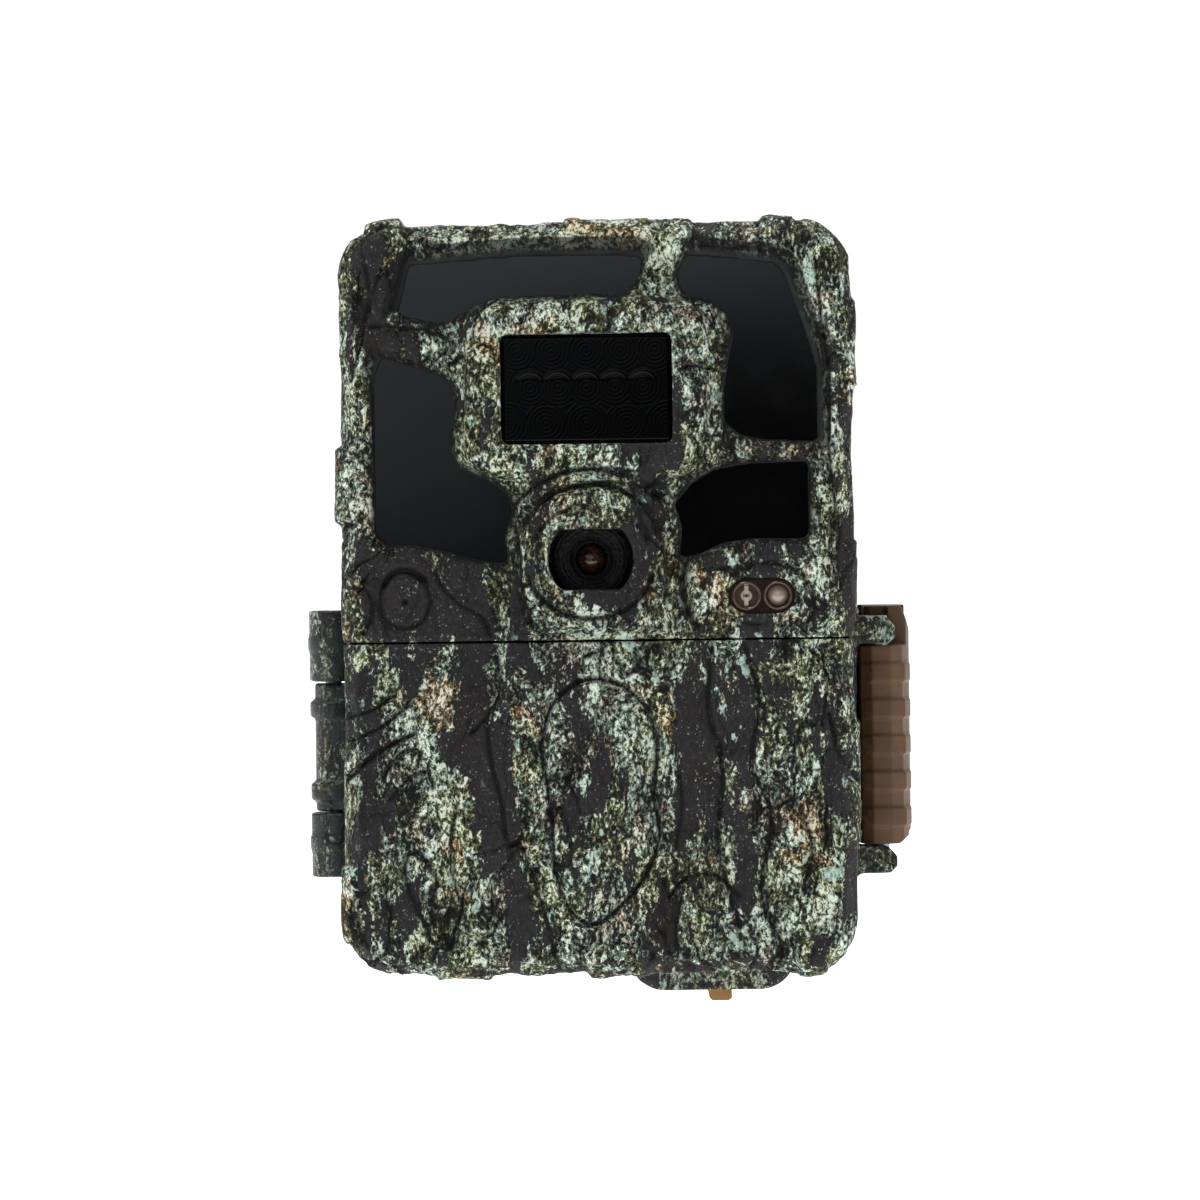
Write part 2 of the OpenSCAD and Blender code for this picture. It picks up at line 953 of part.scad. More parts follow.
module inner_panel() {
    color([0.1, 0.1, 0.11])
        difference() {
            union() {
                slab(panel_front, panel_back)
                    outline(rim_t + 0.2);
                for (at = panel_posts)
                    rod_y(at, 2.2, main_y, panel_front + 0.5);
            }
            slab(panel_front - 1, panel_back + 1) {
                window_box(-bay_x, bay_lo, bay_x, bay_hi);
                window_box(niche[0][0], niche[0][1], niche[1][0], niche[1][1]);
                translate(screen_at)
                    square(screen, center = true);
                for (at = pad_spots())
                    translate(at)
                        circle(button_r + 0.2);
                translate([switch_at[0] + switch_travel / 2, switch_at[1]])
                    square([switch_travel + 3.8, 4], center = true);
            }
            for (at = panel_posts)
                rod_y(at, 0.95, main_y - 1, panel_front - 0.5);
            for (at = case_screws)
                rod_y(at, 1.6, panel_front - 1, panel_back + 1);
            // Sunk frame round the screen
            slab(panel_back - 0.6, panel_back + 1)
                translate(screen_at)
                    square([screen[0] + 4, screen[1] + 4], center = true);
        }
}

module panel_screws() {
    color(steel)
        for (at = case_screws)
            screw_y(at, panel_back + 1.4, -1, 2.6, 1.4, 1.2, 8);
}

module board_screws() {
    color(steel)
        for (at = panel_posts)
            screw_y(at, main_front - 1.2, 1, 2, 1.2, 0.95, 5);
}

// A key cap, its flange behind the panel and a stem that ends just short of the switch's plunger
module button(at) {
    color(brown) {
        rod_y(at, button_r, panel_front - 0.6, panel_back + 0.7);
        rod_y(at, button_r + 0.6, panel_front - 1.6, panel_front - 0.2);
        rod_y(at, 1.4, panel_front - 3.1, panel_front - 1.5);
    }
}

module power_knob() {
    x = switch_at[0];
    z = switch_at[1];
    color(brown) {
        block([x - 1.5, panel_front - 1.5, z - 1.8], [x + 1.5, panel_back + 1.2, z + 1.8]);
        block([x - 3, panel_front - 1.5, z - 2.4], [x + 3, panel_front - 0.2, z + 2.4]);
        block([x - 0.8, panel_front - 3.4, z - 1], [x + 0.8, panel_front - 1.4, z + 1]);
    }
}

module ribbon_cable() {
    x = [28, 38];
    z = 97;
    color([0.75, 0.75, 0.78]) {
        block([x[0], led_y, z], [x[1], main_front, z + 0.4]);
        for (y = [[led_y, led_y + 2.5], [main_front - 2.5, main_front]])
            block([x[0] - 1, y[0], z - 1.6], [x[1] + 1, y[1], z + 2]);
    }
}

module bay_contacts() {
    color(brass)
        for (x = [-12, 12])
            block([x - 2, bay_floor, 36], [x + 2, bay_floor + 0.25, 44]);
}

// ---- Power socket and its cover ----

module dc_jack() {
    color([0.08, 0.08, 0.08])
        difference() {
            rod_z(jack_at, 4.6, jack_mouth, 6.6);
            rod_z(jack_at, jack_r, jack_mouth - 1, 5.4);
        }
    color(steel)
        rod_z(jack_at, 1, jack_mouth + 1.6, 5.6);
}

module jack_cover() {
    tab_y = jack_at[1] - 4;
    color(brown) {
        rod_z(jack_at, 5.2, boss_low - 0.3, boss_low + 1.1);
        rod_z(jack_at, 2.3, boss_low + 1, boss_low + 2.6);
        block(
            [cover_hinge[0] + 0.1, jack_at[1] - 2, cover_hinge[1]],
            [cover_hinge[0] + 3, jack_at[1] + 2, cover_hinge[1] + 0.8]
        );
        slab(tab_y, tab_y + 1.4)
            polygon([
                [18, boss_low], [22.4, boss_low], [22.5, boss_low - 2.2],
                [21.9, boss_low - 2.6], [18.9, boss_low - 2.6], [18.4, boss_low - 2],
            ]);
    }
}

module cover_anchor() {
    color(brown)
        block(
            [boss_x[0] + 0.2, jack_at[1] - 2, cover_hinge[1]],
            [cover_hinge[0] - 0.1, jack_at[1] + 2, boss_low]
        );
}

// ---- Latch ----

// Plan outline of the grip, from the pin; lift moves the raised bands' faces out
module grip_outline(lift) {
    polygon([
        [-3.9, 0.5], [-3.5, -1.6], [-1.5, -3.1 - lift], [1.9, -3.1 - lift],
        [4 + lift, -2 - lift], [5.1 + lift, 0.8], [5.3 + lift, 7.5],
        [5.2 + lift, 15], [4.8 + lift, 22], [1.8, 22], [1.8, 5.2], [-1, 5.2], [-3.9, 3],
    ]);
}

module latch_lever() {
    lo = ear_lo[1] + end_gap;
    hi = ear_hi[0] - end_gap;
    top = ear_hi[1] + 1.7;
    band = (hi - lo) / grip_bands;
    color(brown)
        difference() {
            translate([latch_x, latch_y, 0]) {
                translate([0, 0, lo])
                    linear_extrude(hi - lo)
                        grip_outline(0);
                for (i = [1:2:grip_bands - 2])
                    translate([0, 0, lo + i * band])
                        linear_extrude(band)
                            grip_outline(0.5);
                // The back plate is taller, and its lip bears on the rear half's catch
                translate([0, 0, lo])
                    linear_extrude(top - lo)
                        polygon([
                            [1.8, 5.2], [5.2, 5.2], [5.9, 8], [5.8, 21], [4.8, 27],
                            [2.6, 28.4], [-1.2, 28.4], [-2.4, 27.2], [-2.4, 25],
                            [-1.2, 24], [1.8, 21.5],
                        ]);
                // Behind the upper ear it fills the space towards the case
                translate([0, 0, hi])
                    linear_extrude(top - hi)
                        polygon([
                            [-2.2, 8], [-1.4, 7.2], [5.6, 7.2], [5.6, 20], [1.8, 20], [-2.2, 17],
                        ]);
            }
            rod_z([latch_x, latch_y], pin_r + running, lo - 1, hi + 1);
            // Its outer corners are cut off above and below
            slab(latch_y - 5, y_part + 1) {
                polygon([
                    [latch_x + 4.4, top + 1], [latch_x + 4.4, top], [latch_x + 6.2, top - 5],
                    [latch_x + 7, top - 5], [latch_x + 7, top + 1],
                ]);
                polygon([
                    [latch_x + 3.2, lo - 1], [latch_x + 3.2, lo], [latch_x + 6.4, lo + 2.2],
                    [latch_x + 7, lo + 2.2], [latch_x + 7, lo - 1],
                ]);
            }
        }
}

module latch_pin() {
    color(steel)
        rod_z([latch_x, latch_y], pin_r, ear_lo[0], ear_hi[1]);
}

// ---- Battery tray ----

module battery_tray() {
    y0 = cell_rows[1] - cell_r - 0.2;
    color([0.1, 0.1, 0.11])
        difference() {
            block([-tray_x, y0, tray_lo], [tray_x, tray_back, tray_hi]);
            block(
                [-tray_x + 1.6, y0 - 1, tray_lo + 1],
                [tray_x - 1.6, tray_back - tray_plate, tray_hi - 1]
            );
            // Finger grip in the plate
            slab(tray_back - 1.5, tray_back + 1)
                translate([0, tray_hi - 8])
                    rounded(22, 7, 2.5);
        }
}

module each_cell() {
    for (r = [0, 1], c = [0:3])
        translate([cell_columns[c] * cell_pitch, cell_rows[r], 0]) {
            $up = (r + c) % 2 == 0;
            children();
        }
}

module battery_cells() {
    mid = (tray_lo + tray_hi) / 2;
    shift = 0.4;
    color([0.55, 0.42, 0.2])
        each_cell() {
            turn = $up ? 0 : 180;
            translate([0, 0, mid])
                rotate([turn, 0, 0])
                    translate([0, 0, -cell_l / 2 + shift]) {
                        cylinder(r = cell_r, h = cell_l);
                        cylinder(r = 2.7, h = cell_l + 1);
                    }
        }
}

module contact_springs() {
    mid = (tray_lo + tray_hi) / 2;
    foot = (tray_hi - tray_lo) / 2 - 1.3;
    color(steel)
        each_cell() {
            turn = $up ? 0 : 180;
            translate([0, 0, mid])
                rotate([turn, 0, 0])
                    translate([0, 0, -foot])
                        for (i = [0:2])
                            rotate_extrude()
                                translate([4 - i * 0.4, 0.38 + i * 0.5])
                                    circle(0.36);
        }
}

module contact_plates() {
    color(steel)
        for (r = [0, 1], c = [0:3], z = [tray_lo + 1, tray_hi - 1.3])
            translate([cell_columns[c] * cell_pitch - 5.5, cell_rows[r] - 5, z])
                cube([11, 10, 0.3]);
}

// ---- Nodes ----

rear_case();
tripod_boss();
tripod_insert();
gasket();
hinge_pin();
tree_bracket();
bracket_screws();
front_housing();
front_bezel();
lower_cover();
ir_window();
pir_lens();
pir_chamber();
pir_sensor();
pir_board();
lens_window();
lens_hood();
lens_barrel();
lens_glass();
lens_holder();
image_sensor();
ir_leds();
led_board();
board_standoffs();
led_board_screws();
main_board();
board_chips();
tact_switches();
sd_socket();
usb_port();
switch_body();
display();
inner_panel();
panel_screws();
board_screws();
sensor_window();
light_sensor();
status_led();
microphone();
dc_jack();
cover_anchor();
latch_pin();
bay_contacts();
latch_lever();
jack_cover();
battery_tray();
battery_cells();
contact_springs();
contact_plates();
button(pad_spots()[0]);  // up_button
button(pad_spots()[1]);  // down_button
button(pad_spots()[2]);  // left_button
button(pad_spots()[3]);  // right_button
button(pad_at);  // enter_button
button(mode_at);  // mode_button
power_knob();
ribbon_cable();
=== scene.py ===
"""Looks of the trail camera: bark-moulded shells, windows, lens, hinge, latch, inside and studio."""

import json
import math

import bpy
import numpy as np
from mathutils import Matrix, Vector
from mathutils.kdtree import KDTree


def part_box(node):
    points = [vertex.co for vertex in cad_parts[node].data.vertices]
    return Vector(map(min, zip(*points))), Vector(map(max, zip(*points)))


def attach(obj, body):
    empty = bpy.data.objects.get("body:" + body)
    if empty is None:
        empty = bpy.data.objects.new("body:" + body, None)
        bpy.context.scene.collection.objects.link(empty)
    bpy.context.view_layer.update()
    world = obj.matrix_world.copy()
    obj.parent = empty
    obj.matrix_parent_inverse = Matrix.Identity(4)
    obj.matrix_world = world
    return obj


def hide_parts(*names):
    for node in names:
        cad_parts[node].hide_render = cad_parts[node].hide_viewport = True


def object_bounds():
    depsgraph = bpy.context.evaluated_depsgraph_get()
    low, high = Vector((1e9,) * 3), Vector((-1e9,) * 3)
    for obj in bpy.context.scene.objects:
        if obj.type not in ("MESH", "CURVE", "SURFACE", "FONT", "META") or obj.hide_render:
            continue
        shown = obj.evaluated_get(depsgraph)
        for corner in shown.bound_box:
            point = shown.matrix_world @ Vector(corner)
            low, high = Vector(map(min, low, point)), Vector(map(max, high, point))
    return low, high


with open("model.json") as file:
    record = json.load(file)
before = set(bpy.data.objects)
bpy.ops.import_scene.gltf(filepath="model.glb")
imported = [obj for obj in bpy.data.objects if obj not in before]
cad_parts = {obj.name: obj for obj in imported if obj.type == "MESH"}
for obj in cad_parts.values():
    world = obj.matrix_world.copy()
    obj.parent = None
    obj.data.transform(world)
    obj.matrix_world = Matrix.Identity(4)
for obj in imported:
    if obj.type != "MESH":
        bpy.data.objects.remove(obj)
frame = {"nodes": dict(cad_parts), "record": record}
CAD_BOUNDS = [list(corner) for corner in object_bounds()]
MM = 0.001
BODY = {
    node: body
    for body, nodes in frame["record"]["behaviour"]["bodies"].items()
    for node in nodes
}
SLOT = {row["node"]: row["material_slot"] for row in frame["record"]["subparts"]}


def box_mm(node):
    """Lowest and highest corner of a CAD node, in millimetres."""
    low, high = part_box(node)
    return np.array(low) / MM, np.array(high) / MM


# ---- Places on the case, all from the CAD ----

CASE_HIGH = box_mm("gasket")[1]
GASKET_INSET = 1.6
HALF_W = CASE_HIGH[0] + GASKET_INSET
TOP = CASE_HIGH[2] + GASKET_INSET
CORNER = 9.0
CHAMFER = 2.6
CHAMFER_DEEP = 3.0
FACE_Y = box_mm("lower_cover")[0][1]
NOSE_Y = box_mm("front_bezel")[0][1]
BACK_Y = box_mm("tree_bracket")[0][1]
FACE_T = 2.4
PART_Y = box_mm("hinge_pin")[0][1] + 1.5
SEAM_Z = box_mm("lower_cover")[1][2] + 0.15
PIR_LOW, PIR_HIGH = box_mm("pir_lens")
LENS = (sum(box_mm("lens_barrel")) / 2)[[0, 2]]
MIC = (sum(box_mm("microphone")) / 2)[[0, 2]]
OVAL_LOW, OVAL_HIGH = box_mm("sensor_window")
FACE_MIDDLE = [0.0, 98.0]

# ---- Sizes of the looks, in millimetres ----

# How far the side walls are drawn in at the hinge and at the latch, and where that starts and is full
SIDE_IN = [0.5, 1.2]
SIDE_RISE = (36, 43)
# Where the wall behind the latch stays as it is: forward limit, foot and head
LATCH_Y = (-38, -34)
LATCH_FOOT = (13, 16)
LATCH_HEAD = (65, 62)
# Depths at which the skin's relief starts to fade and is gone
SKIN = (0.3, 1.9)
# Walls whose normal leans less than this towards the front count as upright
UPRIGHT = 0.35
# Radii or room kept free round the lens, the microphone, the sensor oval and the motion sensor
LENS_ROOM, MIC_ROOM, OVAL_ROOM, PIR_ROOM = 9.6, 5.5, 1, 1.2
# Rings inside the lens hood, as (radius, depth behind its front)
LENS_RINGS = [(6.35, 1.9), (5.7, 3.1), (5.05, 3.9), (4.35, 4.2)]
# Rings round the two small sensors, as (name, radius, depth, half width, half depth)
SENSOR_RINGS = [("sensor_bezel", 2.3, 0.1, 0.24, 0.22), ("sensor_well", 1.55, 1.4, 0.14, 0.14)]
SENSOR_INSET = 2.95


# ---- Number fields ----


def smooth(low, high, value):
    """0 below low, 1 above high, with a smooth rise between."""
    t = np.clip((value - low) / (high - low), 0, 1)
    return t * t * (3 - 2 * t)


def lattice(cell, seed):
    """A repeatable number from 0 to 1 for each whole-number point."""
    n = cell[..., 0] * 374761393 + cell[..., 1] * 668265263 + cell[..., 2] * 1440662683
    n = n + seed * 974634777
    n = (n ^ (n >> 13)) * 1274126177
    n = n ^ (n >> 16)
    return (n & 0xFFFFF) / 0xFFFFF


def noise(points, seed):
    """Smooth value noise, 0 to 1, one unit to a cell."""
    whole = np.floor(points).astype(np.int64)
    part = points - whole
    part = part * part * (3 - 2 * part)
    total = 0
    for corner in np.ndindex(2, 2, 2):
        weight = np.prod(np.where(corner, part, 1 - part), axis=1)
        total = total + weight * lattice(whole + np.array(corner), seed)
    return total


def layered(points, seed, layers):
    """Noise with finer and fainter layers on top."""
    total, share, reach = 0, 0, 1.0
    for i in range(layers):
        total = total + noise(points * 2.03**i, seed + i) * reach
        share += reach
        reach *= 0.52
    return total / share


def spline(points, steps=8):
    """A smooth line through a few given points."""
    p = np.array(points, float)
    p = np.vstack([2 * p[0] - p[1], p, 2 * p[-1] - p[-2]])
    t = np.linspace(0, 1, steps, endpoint=False)[:, None]
    runs = []
    for a, b, c, d in zip(p, p[1:], p[2:], p[3:]):
        square = 2 * a - 5 * b + 4 * c - d
        cube = 3 * b - a - 3 * c + d
        runs.append(0.5 * (2 * b + (c - a) * t + square * t**2 + cube * t**3))
    return np.vstack([*runs, p[-2:-1]])


def ring(centre, radii, start=0, end=360, steps=9):
    """Points round an ellipse, from start to end in degrees."""
    turn = np.radians(np.linspace(start, end, steps))
    return [(centre[0] + radii[0] * math.cos(a), centre[1] + radii[1] * math.sin(a)) for a in turn]


def distance_to_line(flat, line):
    """Distance of each (x, z) from a line of points."""
    best = np.full(len(flat), 1e9)
    low, high = line.min(0) - 9, line.max(0) + 9
    near = np.all((flat > low) & (flat < high), axis=1)
    spots = flat[near]
    found = np.full(len(spots), 1e9)
    for a, b in zip(line, line[1:]):
        along = b - a
        t = np.clip(((spots - a) @ along) / max(along @ along, 1e-9), 0, 1)
        found = np.minimum(found, np.hypot(*(spots - a - t[:, None] * along).T))
    best[near] = found
    return best


# ---- Bark relief ----

# Grooves of the bark, as (points of x and z, half width, depth), in millimetres
FACE_GROOVES = [
    ([(-29, 71.5), (-27.5, 68), (-24, 64.6), (-20.5, 62.4), (-19, 58.6)], 0.32, 0.5),
    (ring(MIC + [0, 0.3], (4.5, 4.9)), 0.42, 0.55),
    ([(-37.5, 68.5), (-36, 70.5), (-33, 70.8), (-30.5, 69)], 0.6, 0.6),
    (ring(LENS, (10.6, 9.2), 20, 160), 0.42, 0.7),
    (ring(LENS, (13.4, 13), 24, 156), 0.6, 1.1),
    (ring(LENS, (17, 15.6), 40, 140), 0.6, 0.8),
    (ring(LENS, (11.4, 10.4), 196, 344), 0.5, 0.8),
    ([(-14.8, 79), (-14.4, 71), (-13.8, 66), (-11.8, 60.5)], 0.65, 0.9),
    ([(14.6, 79), (14.9, 72), (14.4, 66), (16.6, 60.5)], 0.65, 0.9),
    ([(11.4, 76), (12, 70), (11.6, 65)], 0.45, 0.5),
    ([(19.8, 108.6), (22, 108), (24.6, 107.6)], 0.35, 0.55),
    ([(14.4, 105.3), (17, 105.7), (20.4, 105)], 0.35, 0.5),
    ([(17, 128.6), (17.6, 126.4), (28.5, 126)], 0.45, 0.6),
    ([(33.6, 131), (33, 127.6), (34.4, 125.6)], 0.4, 0.6),
    ([(-8, 131), (-9.5, 127.5), (-6, 126.5)], 0.4, 0.45),
    ([(-30, 128), (-28, 126.4), (-26.5, 127.4)], 0.4, 0.5),
    ([(-41.5, 129), (-39.8, 120), (-40.8, 113), (-43.5, 104)], 0.4, 0.5),
    ([(38.5, 124), (39.6, 115), (41.4, 104), (41, 92), (42.4, 80)], 0.45, 0.5),
    ([(-43.6, 68), (-40.5, 66.8), (-40.2, 62.6), (-42, 60)], 0.5, 0.6),
    ([(-39.5, 66), (-37.6, 61), (-36.4, 58.5)], 0.3, 0.35),
    ([(19.5, 70.6), (24, 70.2), (29, 71.4), (34.4, 69.8)], 0.6, 0.6),
    ([(35.6, 68.4), (37.5, 64), (35.5, 60)], 0.45, 0.4),
    ([(-24.5, 110), (-27.5, 112), (-33, 113), (-39.4, 113.4)], 0.5, 0.5),
    ([(-6, 84.6), (2, 85.8), (10, 84)], 0.5, 0.5),
    ([(20.4, 63.4), (23.5, 61.4), (28, 60.6)], 0.35, 0.4),
    ([MIC - [0.05, 0], MIC + [0.05, 0]], 0.5, 0.9),
]
COVER_GROOVES = [
    (
        [
            (-10.6, 40), (-8.6, 47), (-3.4, 51.2), (3, 50.6), (7.6, 46.6), (9.6, 40.6), (9, 32),
            (9.8, 24), (7.4, 17.4), (3, 12), (-1.6, 8.8), (-5.6, 11), (-8.4, 18), (-9, 28), (-10.6, 40),
        ],
        0.42,
        0.8,
    ),
    ([(-44.6, 45.4), (-40.4, 46.6), (-36, 49)], 0.34, 0.6),
    ([(-44, 41.4), (-38.6, 43.6), (-33.4, 47.4)], 0.34, 0.6),
    ([(-45.4, 34.6), (-41, 38), (-36.6, 40.6), (-32.6, 42.4)], 0.5, 0.9),
    ([(-38, 35.4), (-34.6, 39.4), (-31.6, 39.2), (-32.4, 36.4)], 0.34, 0.5),
    ([(-37, 31), (-33.4, 35), (-30.4, 35.6), (-29.4, 33)], 0.4, 0.5),
    ([(-22.6, 42.4), (-19.4, 46), (-17.6, 50), (-18, 55.6)], 0.4, 0.6),
    ([(-20, 44.4), (-19.4, 38), (-17.6, 30), (-16.6, 23.4), (-14, 22.4), (-13, 18)], 0.4, 0.6),
    ([(-28.6, 16), (-31, 20.4), (-33.6, 21.6), (-34.4, 17), (-30, 6)], 0.5, 0.5),
    ([(-12.6, 18), (-10, 9.6), (-8, 1.6)], 0.4, 0.45),
    ([(11.4, 13.4), (14.6, 16.8), (19.6, 17), (23.6, 13.4)], 0.45, 0.7),
    ([(13.4, 13), (12.4, 6), (15.6, 0.6)], 0.5, 0.5),
    ([(19.4, 57.4), (18.6, 46), (21, 36), (20, 22), (23.6, 8)], 0.5, 0.6),
    ([(25, 57.6), (27.4, 47), (26, 37), (29.4, 27), (27.4, 14), (31.4, 4)], 0.5, 0.6),
    ([(33.6, 30), (36.4, 22), (34.6, 14)], 0.45, 0.5),
    ([(40.4, 45), (42.6, 38), (45, 33.6)], 0.45, 0.7),
    ([(38.6, 57), (40, 50), (38.8, 43)], 0.4, 0.5),
    ([(-25.4, 30), (-26.6, 20), (-23.6, 8)], 0.4, 0.45),
    ([(12.6, 40), (13.8, 30), (12.6, 22)], 0.35, 0.4),
]

# Raised slabs of bark, as (corners of x and z, height), in millimetres
PLATES = [
    ([(-40.6, 134), (-41.8, 121), (-37.6, 112.4), (-33.8, 113.4), (-32.6, 124), (-34.2, 134)], 0.75),
    ([(-5, 134), (-6, 126.6), (4, 125.8), (12, 127.4), (17.6, 126.6), (17.2, 134)], 0.5),
    ([(29, 134), (28, 127.6), (33.6, 127), (35.6, 134)], 0.55),
    ([(-48, 93), (-48, 78), (-43.4, 79.4), (-42.2, 85), (-43.6, 93)], 0.7),
    ([(48, 120), (43.6, 116), (42.8, 108), (44.6, 102), (48, 101)], 0.45),
    ([(48, 76), (43.8, 75), (43.2, 68), (44.8, 62), (48, 61)], 0.45),
    ([(-48, 46), (-41, 47.6), (-36, 50.4), (-33.4, 47), (-38.4, 43.4), (-48, 41)], 0.45),
    ([(-30, -3), (-29, 4.6), (-23, 6.4), (-20, 2.4), (-19, -3)], 0.55),
    ([(34, -3), (33, 5), (38.6, 7), (41, -3)], 0.45),
    ([(-2.6, -3), (-3.4, 4), (2, 6.4), (8, 4.4), (9.4, -3)], 0.5),
    ([(48, 44), (43, 43), (40.6, 34), (42.4, 24), (48, 20)], 0.5),
    ([(-48, 20), (-43.2, 19), (-42, 12), (-44, 6), (-48, 4)], 0.5),
]

# Where lichen grows thickly (above 0) and where the bark is bare, as (line, width, amount)
LICHEN_BANDS = [
    ([(-22, 127.6), (-4, 128.4), (12, 128)], 3.4, 1.6),
    ([(-31, 128), (-26, 127)], 2.5, 1.0),
    ([(22, 128.4), (34, 126), (40, 116)], 2.6, 0.8),
    ([(-29, 103.6), (-20, 110), (-6, 113.6), (6, 113)], 3.2, 1.2),
    ([(13, 126), (12, 119), (17, 111), (19.6, 101), (18.4, 92)], 3.4, 0.8),
    ([(41, 103), (39.4, 96), (41.6, 90)], 2.4, 1.2),
    ([(-41.6, 106), (-41.4, 92), (-41, 80)], 2.6, 0.8),
    ([(-22, 92), (-14, 88), (-2, 88.6), (10, 88)], 4.0, 0.6),
    ([(-1, 62), (6, 60.6), (9, 62.6)], 3.2, 1.6),
    ([(17, 84), (14, 77), (16, 70), (19, 64)], 3.2, 0.8),
    ([(33, 70), (39, 72), (42, 80)], 3.0, 0.6),
    ([(-40, 126), (-38.8, 118), (-37.6, 111)], 4.4, -1.2),
    ([(-36, 109), (-31, 106.6), (-26, 103)], 2.4, -0.6),
    ([(-40, 74), (-34, 71), (-28, 70), (-23, 65), (-20, 60)], 5.0, -1.1),
    ([(-36, 61), (-27, 60)], 3.4, -0.7),
    ([MIC - [1, 0], MIC + [1, 0]], 5.4, -1.0),
    ([(21, 60.6), (30, 61), (38, 62)], 2.8, -0.7),
    ([(43.6, 126), (44.4, 112)], 2.4, -0.7),
    ([(-11.6, 79), (-12, 70), (-12.4, 62)], 2.6, -0.5),
    ([(22, 128.6), (26, 127)], 2.0, -0.9),
    ([(-42, 56), (-36, 49), (-30, 40), (-28, 33)], 3.4, 1.0),
    ([(-28, 55), (-27, 46)], 2.6, 0.6),
    ([(-1, 57), (3, 47), (8, 38), (6, 26)], 5.0, 1.1),
    ([(-10, 36), (-12, 26), (-11, 12)], 2.4, 0.7),
    ([(-24, 30), (-26, 18), (-23, 6)], 5.0, 0.9),
    ([(36, 57), (34.6, 46), (37, 34), (35, 22)], 3.6, 0.8),
    ([(24, 57), (26, 48)], 3.0, 0.7),
    ([(22, 8), (32, 9), (40, 14)], 4.6, 0.7),
    ([(-40, 20), (-42, 8)], 3.6, 0.5),
    ([(-21.6, 57), (-20.6, 46), (-18.4, 32), (-16.4, 20), (-15, 8)], 3.8, -1.2),
    ([(-43, 44), (-39, 38), (-37, 30), (-41, 25)], 4.0, -1.1),
    ([(-4, 44), (-5, 34), (-4, 22)], 2.8, -0.7),
    ([(13.6, 50), (15.4, 36), (13.6, 24)], 3.2, -1.0),
    ([(30, 50), (30.6, 36), (29, 24)], 2.4, -0.8),
    ([(12, 14), (10, 5)], 4.0, -0.8),
    ([(43, 52), (43.6, 40), (42, 26)], 2.4, -0.6),
]


def inside_depth(flat, corners):
    """How deep each (x, z) lies inside a convex ring of corners; below 0 is outside."""
    corners = np.array(corners, float)
    (ax, az), (bx, bz) = corners[1] - corners[0], corners[2] - corners[1]
    side = ax * bz - az * bx
    depth = np.full(len(flat), 1e9)
    for a, b in zip(corners, np.roll(corners, -1, axis=0)):
        along = (b - a) / np.hypot(*(b - a))
        across = along[0] * (flat[:, 1] - a[1]) - along[1] * (flat[:, 0] - a[0])
        depth = np.minimum(depth, across * math.copysign(1, side))
    return depth


def bark(points, normals, grooves):
    """Height of the bark over the plain surface, and how far each point lies in a crack or groove (0 to
    1), which sets how much painted shade it gets.
    """
    tall = points / [7.0, 7.0, 19.0]
    drift = layered(points / 13.0, 5, 2)[:, None] * [2.2, 2.2, 0.9]
    plates = layered(tall + drift, 11, 4)
    cracks = 1 - np.abs(2 * layered(tall * 1.25 + drift * 1.4, 37, 3) - 1)
    cracks = smooth(0.93, 0.995, cracks) * smooth(0.42, 0.6, noise(points / 11.0, 71))
    lumps = layered(points / [2.6, 2.6, 4.6] + drift, 53, 3)
    grain = layered(points / [0.9, 0.9, 1.5], 91, 2)
    rough = smooth(0.42, 0.6, layered(points / [9.0, 9.0, 15.0] + drift * 0.4, 23, 3))
    lumpy = (0.35 + 0.55 * rough) * (lumps - 0.5)
    height = 1.5 * (plates - 0.5) + lumpy + 0.28 * rough * (grain - 0.5)
    depth = 0.55 * cracks
    dark = cracks.copy()
    flat = points[:, [0, 2]]
    wavy = flat + 0.5 * drift[:, :2] - 0.5
    for corners, high in PLATES:
        height = height + 1.6 * high * smooth(-0.1, 0.75, inside_depth(wavy, corners))
    facing = smooth(0.0, 0.6, -normals[:, 1])
    for line, half, deep in grooves:
        away = distance_to_line(flat, spline(line))
        cut = np.exp(-((away / half) ** 2)) * facing
        lip = np.exp(-(((away - 2.1 * half) / half) ** 2)) * facing
        depth = depth + deep * cut - 0.22 * deep * lip
        dark = np.maximum(dark, cut)
    return height - depth, dark


# ---- Meshes from the frame ----


def arrays(mesh):
    """A mesh's points in millimetres and its normals."""
    points = np.empty(len(mesh.vertices) * 3)
    normals = np.empty(len(mesh.vertices) * 3)
    mesh.vertices.foreach_get("co", points)
    mesh.vertices.foreach_get("normal", normals)
    return points.reshape(-1, 3) / MM, normals.reshape(-1, 3)


def put_points(mesh, points):
    """Writes points in millimetres back to a mesh."""
    mesh.vertices.foreach_set("co", (points * MM).ravel())
    mesh.update()


def run_modifiers(piece):
    """Applies a piece's modifiers to its own mesh."""
    evaluated = piece.evaluated_get(bpy.context.evaluated_depsgraph_get())
    mesh = bpy.data.meshes.new_from_object(evaluated)
    piece.modifiers.clear()
    piece.data = mesh


def remesh(piece, cell, rounds=0):
    """Rebuilds a piece as even quads of cell millimetres and rounds its edges."""
    modifier = piece.modifiers.new("even", "REMESH")
    modifier.mode = "VOXEL"
    modifier.voxel_size = cell * MM
    modifier.use_smooth_shade = True
    if rounds:
        softer = piece.modifiers.new("soft", "SMOOTH")
        softer.factor = 0.5
        softer.iterations = rounds
    run_modifiers(piece)


def add_object(name, data):
    """A new object in the scene, from a mesh, a light or a camera."""
    made = bpy.data.objects.new(name, data)
    bpy.context.scene.collection.objects.link(made)
    return made


def copy_of(node, name):
    """A new piece with the shape of a CAD node, which it stands for."""
    piece = add_object(name, frame["nodes"][node].data.copy())
    piece.data.materials.clear()
    return piece


